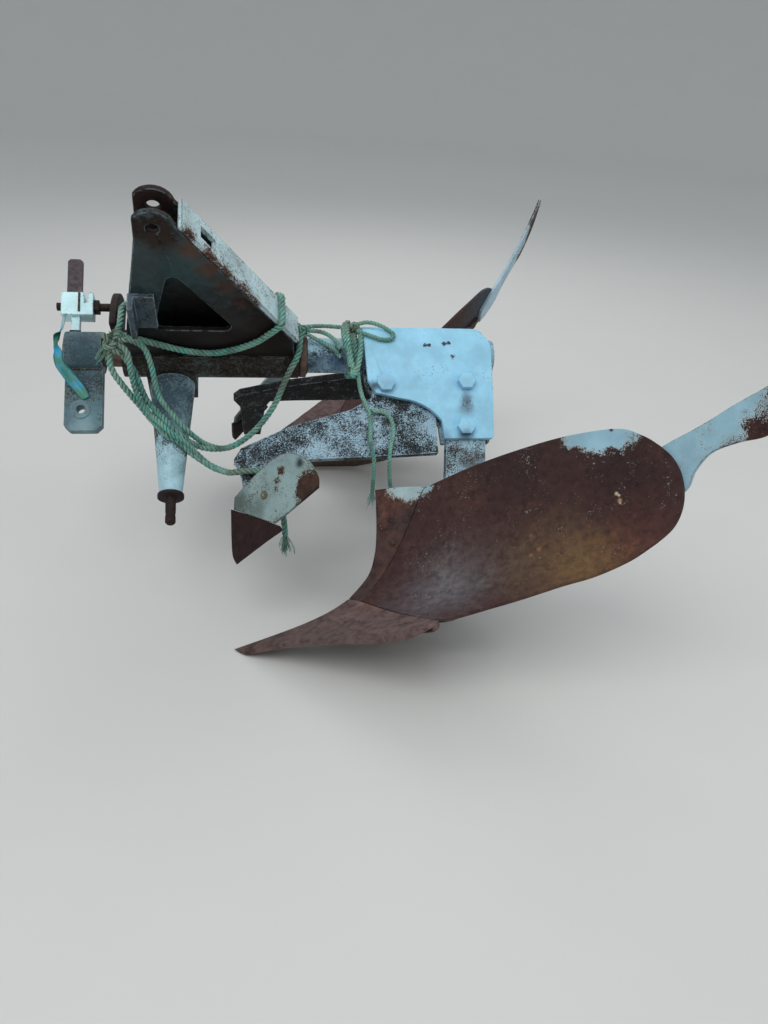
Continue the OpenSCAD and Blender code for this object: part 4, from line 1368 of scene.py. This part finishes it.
# parts names the frame's nodes, without near or far where both sides look the same. Zones start
# with their place, for near_at unless at says otherwise.
FRAME_FINISHES = {
    "bright_paint": dict(
        parts=("headpiece_outer", "headpiece_bolts"), cover=0.02, paint=(158, 214, 240), edge=0.16,
        chip_scale=16, grime=0.03, metal=((34, 36, 42), (70, 72, 78), (100, 92, 88)),
        rim=(120, 140, 160),
        bare_zones=[
            (576, 52, -6, 0.006, 0.50), (586, 52, -6, 0.005, 0.50), (621, 52, -10, 0.006, 0.48),
            (633, 52, -12, 0.005, 0.50), (640, 52, 22, 0.007, 0.36), (664, 52, 142, 0.018, 0.34),
        ],
        washes=[
            (664, 52, 126, 0.022, (92, 108, 122), 0.8), (662, 52, 150, 0.026, (104, 122, 138), 0.7),
            (476, 52, 92, 0.034, (116, 146, 176), 0.6), (664, 52, 92, 0.028, (124, 150, 172), 0.5),
            (654, 52, 216, 0.030, (40, 46, 52), 0.7), (600, 52, 226, 0.04, (116, 150, 180), 0.7),
            (450, 52, 96, 0.018, (40, 44, 50), 0.8),
        ],
    ),
    "mottled_paint": dict(
        parts=("headpiece_inner", "skimmer_arm_near"), cover=0.60, paint=(164, 196, 212),
        metal=SOOT, rim=(96, 104, 108), edge_highlight_and_wear=(176, 202, 216), edge=-0.10, chip_scale=30,
        grime=0.30,
        paint_zones=[
            (420, 30, 190, 0.06, 0.12), (600, 30, 190, 0.05, 0.16), (330, 30, 250, 0.05, 0.14),
        ],
    ),
    "tube_paint": dict(
        parts=("beam_tube",), cover=0.36, paint=(160, 200, 220), metal=SOOT, rim=(110, 116, 118),
        edge=0.2, chip_scale=26, grime=0.42,
        # The pale wash on the top of the tube is a painted highlight; the dark blue washes on its lower side are
        # painted shade
        washes=[
            (360, 22, -38, 0.04, (190, 222, 236), 0.7), (370, 34, 34, 0.05, (56, 76, 106), 0.9),
            (320, 30, 36, 0.04, (44, 56, 70), 0.8), (412, 36, 26, 0.04, (40, 52, 66), 0.9),
        ],
    ),
    "arm_paint": dict(
        parts=("link_arm",), at=head_at, cover=0.30, paint=(168, 206, 218),
        metal=((28, 26, 26), (56, 54, 54), (96, 74, 60)), rim=(120, 120, 114),
        edge_highlight_and_wear=(178, 204, 214), edge=-0.02, chip_scale=24, grime=0.55,
        bare_zones=[
            (4, -232, -60, 0.034, 0.22), (12, -276, -44, 0.013, 0.30),
            (-10, -190, -44, 0.030, 0.20), (0, -110, -10, 0.085, 0.12),
        ],
        paint_zones=[(0, -310, -44, 0.055, 0.16)],
        washes=[(0, -110, -10, 0.11, (72, 98, 112), 0.72), (0, -170, -30, 0.07, (60, 84, 92), 0.5)],
    ),
    # Mast plates: the light blue paint darkened with painted shade; the near-black washes low on the plates are
    # heavy rust darkened with painted shade
    "mast_paint": dict(
        parts=("mast_near", "mast_far"), at=head_at, cover=0.14, paint=(52, 74, 78),
        metal=((26, 16, 14), (46, 30, 26), (84, 52, 40)), rim=(60, 58, 54), edge_highlight_and_wear=(148, 172, 182),
        edge=0.20, chip_scale=13, grime=0.35,
        bare_zones=[(0, -34, 422, 0.045, 0.30), (0, 34, 422, 0.060, 0.40)],
        washes=[
            *[
                (s, -34, u, 0.042, (92, 62, 48), 0.8)
                for s, u in ((66, 372), (96, 322), (128, 272), (160, 224), (196, 170))
            ],
            (-60, -34, 330, 0.10, (44, 40, 36), 0.5), (10, -34, 392, 0.060, (48, 40, 36), 0.8),
            (140, -34, 60, 0.36, (15, 9, 8), 1.0), (10, -34, 40, 0.24, (18, 13, 12), 1.0),
            (220, -34, 110, 0.17, (26, 14, 11), 1.0), (60, -34, 170, 0.12, (30, 20, 18), 0.9),
        ],
    ),
    # The sloping top plate is painted paler than the rest of the light blue paint: a painted highlight on its
    # upward face
    "slope_paint": dict(
        parts=("mast_back",), at=head_at, cover=0.24, paint=(192, 220, 226),
        metal=((48, 34, 30), (84, 58, 48), (120, 88, 70)), rim=(176, 160, 144), edge=0.34,
        chip_scale=22, grime=0.12,
        bare_zones=[
            (96, -40, 356, 0.026, 0.28), (126, -40, 308, 0.028, 0.28), (154, -40, 262, 0.026, 0.26),
            (182, -40, 222, 0.022, 0.22), (60, -34, 410, 0.016, 0.28),
        ],
    ),
    # The bearing housing's dark paint is painted shade, where it lies beneath the mast
    "housing_paint": dict(
        parts=("bearing_housing",), cover=0.55, paint=(70, 84, 84),
        metal=((24, 20, 18), (46, 38, 32), (72, 52, 40)), rim=(70, 66, 58), edge=0.1, chip_scale=14,
        grime=0.6,
    ),
    "crank_paint": dict(
        parts=("crank_arm",), cover=0.34, edge_highlight_and_wear=(168, 192, 202), paint=(96, 128, 138),
        metal=((34, 32, 34), (64, 62, 64), (100, 84, 72)), rim=(110, 116, 112), edge=0.10,
        chip_scale=24, grime=0.50,
        bare_zones=[(-186, 16, 70, 0.06, 0.10), (-186, 46, 0, 0.04, 0.08)],
        paint_zones=[(-186, 12, 170, 0.05, 0.12)],
        washes=[
            (-186, 16, 40, 0.075, (58, 84, 94), 0.7), (-186, 16, 178, 0.040, (160, 188, 198), 0.45),
            (-186, 46, 0, 0.060, (66, 92, 104), 0.6),
        ],
    ),
    "block_paint": dict(
        parts=("latch_block",), cover=0.06, paint=(205, 242, 247), metal=SOOT, edge=0.24,
        chip_scale=26, grime=0.05,
    ),
    "pad_paint": dict(
        parts=("mast_pad",), cover=0.40, paint=(74, 92, 104), metal=SOOT, rim=(90, 100, 106),
        edge_highlight_and_wear=(176, 196, 204), edge=0.05, chip_scale=26, grime=0.5,
    ),
    "handle_steel": dict(
        parts=("latch_handle",), cover=1.2, metal=((58, 48, 52), (88, 80, 84), (118, 104, 104)),
        rust_scale=16, tints=[(-214, 10, -182, 0.022, (186, 186, 196), 0.85)],
    ),
    "sooty_steel": dict(
        parts=("latch_plunger", "link_pin", "index_sector"), cover=1.2,
        metal=((28, 22, 22), (48, 38, 36), (78, 58, 48)), rust_scale=14,
    ),
    "worn_steel": dict(
        parts=("landside", "turnover_shaft"), cover=1.2,
        metal=((70, 56, 50), (104, 86, 78), (140, 118, 104)), rust_scale=16,
    ),
    "leg_paint": dict(
        parts=("leg",), cover=0.44, paint=(158, 190, 204),
        metal=((34, 32, 32), (62, 60, 60), (104, 86, 72)), rim=(112, 114, 110),
        edge_highlight_and_wear=(176, 204, 218), edge=-0.05, chip_scale=26, grime=0.5,
    ),
    "under_paint": dict(
        parts=("frog", "tail_stay"), cover=0.70, paint=(120, 146, 158),
        metal=((32, 24, 22), (58, 44, 40), (92, 66, 52)), edge=0.1, chip_scale=20, grime=0.6,
    ),
    "shaded_arm_paint": dict(
        parts=("skimmer_arm_far",), cover=0.80, paint=(150, 170, 184),
        metal=((18, 18, 18), (28, 28, 28), (58, 46, 40)), rim=(60, 62, 62), edge_highlight_and_wear=(150, 160, 170),
        edge=-0.10, chip_scale=26, grime=0.3,
    ),
}


class PLOUGH_OT_frame_finish(bpy.types.Operator):
    """Paint, rust and rounded edges on the frame's own pieces"""

    bl_idname = "plough.frame_finish"
    bl_label = "Frame Finish"

    def execute(self, context):
        materials = {}
        for name, finish in FRAME_FINISHES.items():
            values = place_zones(finish, finish.get("at", near_at), 3)
            for key in ("parts", "at"):
                values.pop(key, None)
            materials.update(dict.fromkeys(finish["parts"], weathered(name, **values)))
        radius = settings("plates").edge_radius
        for name, obj in NODES.items():
            key = name if name in materials else name.rsplit("_", 1)[0]
            if key in materials:
                obj.data.materials.clear()
                obj.data.materials.append(materials[key])
                round_edges(obj, radius)
        return {"FINISHED"}


# Welds and fasteners


@node_group(
    "Weld Bead", GEOMETRY_TREE,
    [
        ("Geometry", GEOMETRY), ("Bead Radius", FLOAT, 0.003), ("Ripple Length", FLOAT, 0.0042),
        ("Ripple Depth", FLOAT, 0.22), ("Material", MATERIAL),
    ],
    [("Geometry", GEOMETRY)],
)
def weld_tree(tree, source, sink):
    """A rippled bead along each line of a curve."""
    even = result(
        tree, "GeometryNodeResampleCurve", {"Curve": source["Geometry"], "Length": 0.001},
        mode="LENGTH",
    )
    run = node(tree, "GeometryNodeSplineParameter").outputs["Length"]
    phase = times(tree, per(tree, run, source["Ripple Length"]), math.pi)
    wave = calc(tree, "ABSOLUTE", calc(tree, "SINE", phase))
    size = minus(tree, 1.0, times(tree, wave, source["Ripple Depth"]))
    place = result(tree, "GeometryNodeInputPosition")
    uneven = node(
        tree, "ShaderNodeTexNoise", {"Vector": place, "Scale": 70.0, "Detail": 2.0}
    ).outputs["Fac"]
    size = times(tree, size, plus(tree, 0.65, times(tree, uneven, 0.7)))
    shaped = result(tree, "GeometryNodeSetCurveRadius", {"Curve": even, "Radius": size})
    circle = node(
        tree, "GeometryNodeCurvePrimitiveCircle",
        {"Resolution": 8, "Radius": source["Bead Radius"]},
    ).outputs["Curve"]
    swept = node(
        tree, "GeometryNodeCurveToMesh",
        {"Curve": shaped, "Profile Curve": circle, "Fill Caps": True},
    )
    if "Scale" in swept.inputs:
        feed(tree, swept.inputs["Scale"], result(tree, "GeometryNodeInputRadius"))
    smooth = result(tree, "GeometryNodeSetShadeSmooth", {"Geometry": swept.outputs[0]})
    finish_tree(tree, sink, smooth, source["Material"])


@node_group(
    "Fasteners", GEOMETRY_TREE,
    [
        ("Geometry", GEOMETRY), ("Sides", INTEGER, 6), ("Head Radius", FLOAT, 0.011),
        ("Head Height", FLOAT, 0.008), ("Washer Radius", FLOAT, 0.013),
        ("Stud Radius", FLOAT, 0.006), ("Stud Height", FLOAT, 0.012), ("Material", MATERIAL),
    ],
    [("Geometry", GEOMETRY)],
)
def fastener_tree(tree, source, sink):
    """A head, washer and stud end on each point, along its axis attribute."""
    join = node(tree, "GeometryNodeJoinGeometry")
    for sides, radius, height in (
        (source["Sides"], source["Head Radius"], source["Head Height"]),
        (24, source["Washer Radius"], WASHER_HEIGHT),
        (16, source["Stud Radius"], source["Stud Height"]),
    ):
        form = node(
            tree, "GeometryNodeMeshCylinder",
            {"Vertices": sides, "Radius": radius, "Depth": height},
        ).outputs["Mesh"]
        lift = node(tree, "ShaderNodeCombineXYZ", {"Z": times(tree, height, 0.5)})
        raised = result(
            tree, "GeometryNodeTransform", {"Geometry": form, "Translation": lift.outputs[0]}
        )
        tree.links.new(raised, join.inputs[0])
    axis = result(
        tree, "GeometryNodeInputNamedAttribute", {"Name": "axis"}, data_type="FLOAT_VECTOR"
    )
    aim = result(tree, "FunctionNodeAlignRotationToVector", {"Vector": axis}, axis="Z")
    placed = result(
        tree, "GeometryNodeInstanceOnPoints",
        {"Points": source["Geometry"], "Instance": join.outputs[0], "Rotation": aim},
    )
    finish_tree(tree, sink, placed, source["Material"])


BOLT_RADIUS = 0.0006
WASHER_HEIGHT = 0.0016
FROG_T = 12
FASTENER_SIZES = (
    "sides", "head_radius", "head_height", "washer_radius", "stud_radius", "stud_height"
)
FASTENERS = {
    "plough_bolt_heads": (24, 0.0095, 0.0011, 0.0085, 0.004, 0.0013),
    "skimmer_bolt_heads": (24, 0.0070, 0.0034, 0.0094, 0.0042, 0.0046),
    "plough_bolt_nuts": (6, 0.0115, 0.010, 0.0130, 0.006, 0.015),
}


def point_object(name, spots):
    """Loose points that each keep the direction of a fastener, from (place, axis) pairs."""
    mesh = bpy.data.meshes.new(name)
    mesh.from_pydata([tuple(place) for place, _ in spots], [], [])
    axes = mesh.attributes.new("axis", "FLOAT_VECTOR", "POINT")
    for item, (_, axis) in zip(axes.data, spots):
        item.vector = axis
    obj = bpy.data.objects.new(name, mesh)
    bpy.context.scene.collection.objects.link(obj)
    return obj


class PLOUGH_OT_welds(bpy.types.Operator):
    """Weld beads of the headstock and the crank"""

    bl_idname = "plough.welds"
    bl_label = "Weld Beads"

    def execute(self, context):
        material = weathered(
            "weld_bead", cover=0.55, paint=(96, 112, 116),
            metal=((26, 20, 18), (50, 38, 34), (84, 62, 50)), chip_scale=40, grime=0.5,
        )
        lines = {"headstock": [], "plough": []}
        for side in (-1, 1):
            lines["headstock"].append([head_at(s, side * 35.6, 37.6) for s in range(-82, 262, 8)])
            lines["plough"].append([near_at(s, side * 13.4, 44.2) for s in range(-222, -148, 6)])
        ring = [math.tau * k / 48 for k in range(49)]
        lines["plough"].append(
            [AXIS + Vector((0.3022, 0.0412 * math.sin(a), 0.0412 * math.cos(a))) for a in ring]
        )
        foot = (-217.5, 9.5), (-198.5, 9.5), (-198.5, -9.5), (-217.5, -9.5), (-217.5, 9.5)
        lines["plough"].append([near_at(s, c, -47.5) for s, c in foot])
        lines["plough"].append([near_at(-199.5, 19.5, r) for r in range(-136, -90, 5)])
        for body, paths in lines.items():
            sweep(
                line_object(f"weld_beads_{body}", paths), weld_tree(), body, "shaded_paint",
                material=material,
            )
        return {"FINISHED"}


class PLOUGH_OT_fasteners(bpy.types.Operator):
    """Plough bolts: flush heads on the worked plates and nuts on the frogs behind"""

    bl_idname = "plough.fasteners"
    bl_label = "Fasteners"

    def execute(self, context):
        steel = weathered(
            "bolt_steel", cover=1.2, metal=((44, 34, 32), (70, 56, 52), (104, 82, 70)),
            rust_scale=30,
        )
        painted = weathered(
            "skimmer_bolt", cover=0.30, paint=(130, 146, 128),
            metal=((60, 52, 36), (92, 78, 52), (128, 108, 74)), chip_scale=60,
        )
        frog_back = BOARD_T + 6 * SEAT + FROG_T
        heads, nuts, skimmer = [], [], []
        for side in SIDES:
            heads += [face_place(side, s, h) for s, h in ((474, 214), (502, 262))]
            skimmer.append(face_place(side, 196, 136, "skimmer"))
            for s, h in ((530, 116), (548, 196)):
                place, axis = face_place(side, s, h, depth=frog_back)
                nuts.append((place, -axis))
        for name, spots, material in (
            ("plough_bolt_heads", heads, steel), ("skimmer_bolt_heads", skimmer, painted),
            ("plough_bolt_nuts", nuts, steel),
        ):
            sizes = dict(zip(FASTENER_SIZES, FASTENERS[name]))
            piece = sweep(
                point_object(name, spots), fastener_tree(), "plough", "rusty_steel",
                material=material, **sizes,
            )
            round_edges(piece, BOLT_RADIUS, 40)
        return {"FINISHED"}


# Stage


class PLOUGH_OT_stage(bpy.types.Operator):
    """Pale round floor that curves up into a backdrop, and soft lights"""

    bl_idname = "plough.stage"
    bl_label = "Stage"

    def execute(self, context):
        stage = settings("stage")
        scene = context.scene
        scene.view_settings.view_transform = "Standard"
        world = bpy.data.worlds.new("Studio")
        scene.world = world
        world.use_nodes = True
        back = world.node_tree.nodes["Background"]
        back.inputs["Color"].default_value = (0.90, 0.95, 1.0, 1)
        back.inputs["Strength"].default_value = stage.sky
        material, tree, shader, place = new_material("pale_floor")
        speckle = cloud(tree, place, 3.0, 5.0, 0.6)
        low, high = colour4(stage.floor, 0.98), colour4(stage.floor, 1.02)
        feed(tree, shader.inputs["Base Color"], blend_colour(tree, speckle, low, high))
        shader.inputs["Roughness"].default_value = 0.92
        flat, bend, rise, around, sunk = 11.0, 5.0, 14.0, 64, 0.0005
        profile = [(flat, 0.0)]
        for k in range(1, 13):
            a = k * math.pi / 24
            profile.append((flat + bend * math.sin(a), bend - bend * math.cos(a)))
        profile.append((flat + bend, rise))
        verts, faces = [], []
        for radius, height in profile:
            for k in range(around):
                a = math.tau * k / around
                verts.append((radius * math.cos(a), radius * math.sin(a), height - sunk))
        for ring in range(len(profile) - 1):
            for k in range(around):
                a, b = ring * around + k, ring * around + (k + 1) % around
                faces.append((a, a + around, b + around, b))
        faces.append(tuple(range(around)))
        floor = add_piece("stage_floor", verts, faces, material, None)
        lights = [
            ("Key", (-1.6, -2.2, 3.6), 3.2, stage.key_power),
            ("Fill", (3.2, -1.8, 2.4), 2.6, stage.key_power * 0.35),
            ("Back", (0.5, 3.0, 3.4), 3.0, stage.key_power * 0.6),
        ]
        for name, place, size, power in lights:
            data = bpy.data.lights.new(name, "AREA")
            data.shape = "DISK"
            data.size = size
            data.energy = power
            lamp = bpy.data.objects.new(name, data)
            lamp.location = place
            aim = Vector((0.1, 0, 0.4)) - lamp.location
            lamp.rotation_euler = aim.to_track_quat("-Z", "Y").to_euler()
            scene.collection.objects.link(lamp)
        return {"FINISHED"}


class PLOUGH_PT_panel(bpy.types.Panel):
    """Lists the plough's operators and their settings"""

    bl_label = "Plough"
    bl_idname = "PLOUGH_PT_panel"
    bl_space_type = "VIEW_3D"
    bl_region_type = "UI"
    bl_category = "Plough"

    def draw(self, context):
        for group in PROPERTIES:
            box = self.layout.box()
            for name in group.__annotations__:
                box.prop(settings(PROPERTIES[group]), name)
        for operator in OPERATORS:
            self.layout.operator(operator.bl_idname)


PROPERTIES = {
    PloughPaintProperties: "paint", PloughPlateProperties: "plates", PloughStageProperties: "stage",
}
OPERATORS = (
    PLOUGH_OT_camera, PLOUGH_OT_ropes, PLOUGH_OT_strip, PLOUGH_OT_worked_plates,
    PLOUGH_OT_frame_finish, PLOUGH_OT_welds, PLOUGH_OT_fasteners, PLOUGH_OT_stage,
)


def register():
    for group, name in PROPERTIES.items():
        bpy.utils.register_class(group)
        setattr(bpy.types.Scene, "plough_" + name, bpy.props.PointerProperty(type=group))
    for operator in OPERATORS:
        bpy.utils.register_class(operator)
    bpy.utils.register_class(PLOUGH_PT_panel)


def unregister():
    bpy.utils.unregister_class(PLOUGH_PT_panel)
    for operator in reversed(OPERATORS):
        bpy.utils.unregister_class(operator)
    for group, name in PROPERTIES.items():
        delattr(bpy.types.Scene, "plough_" + name)
        bpy.utils.unregister_class(group)


def main():
    register()
    for operator in OPERATORS:
        group, name = operator.bl_idname.split(".")
        getattr(getattr(bpy.ops, group), name)()


if __name__ == "__main__":
    main()
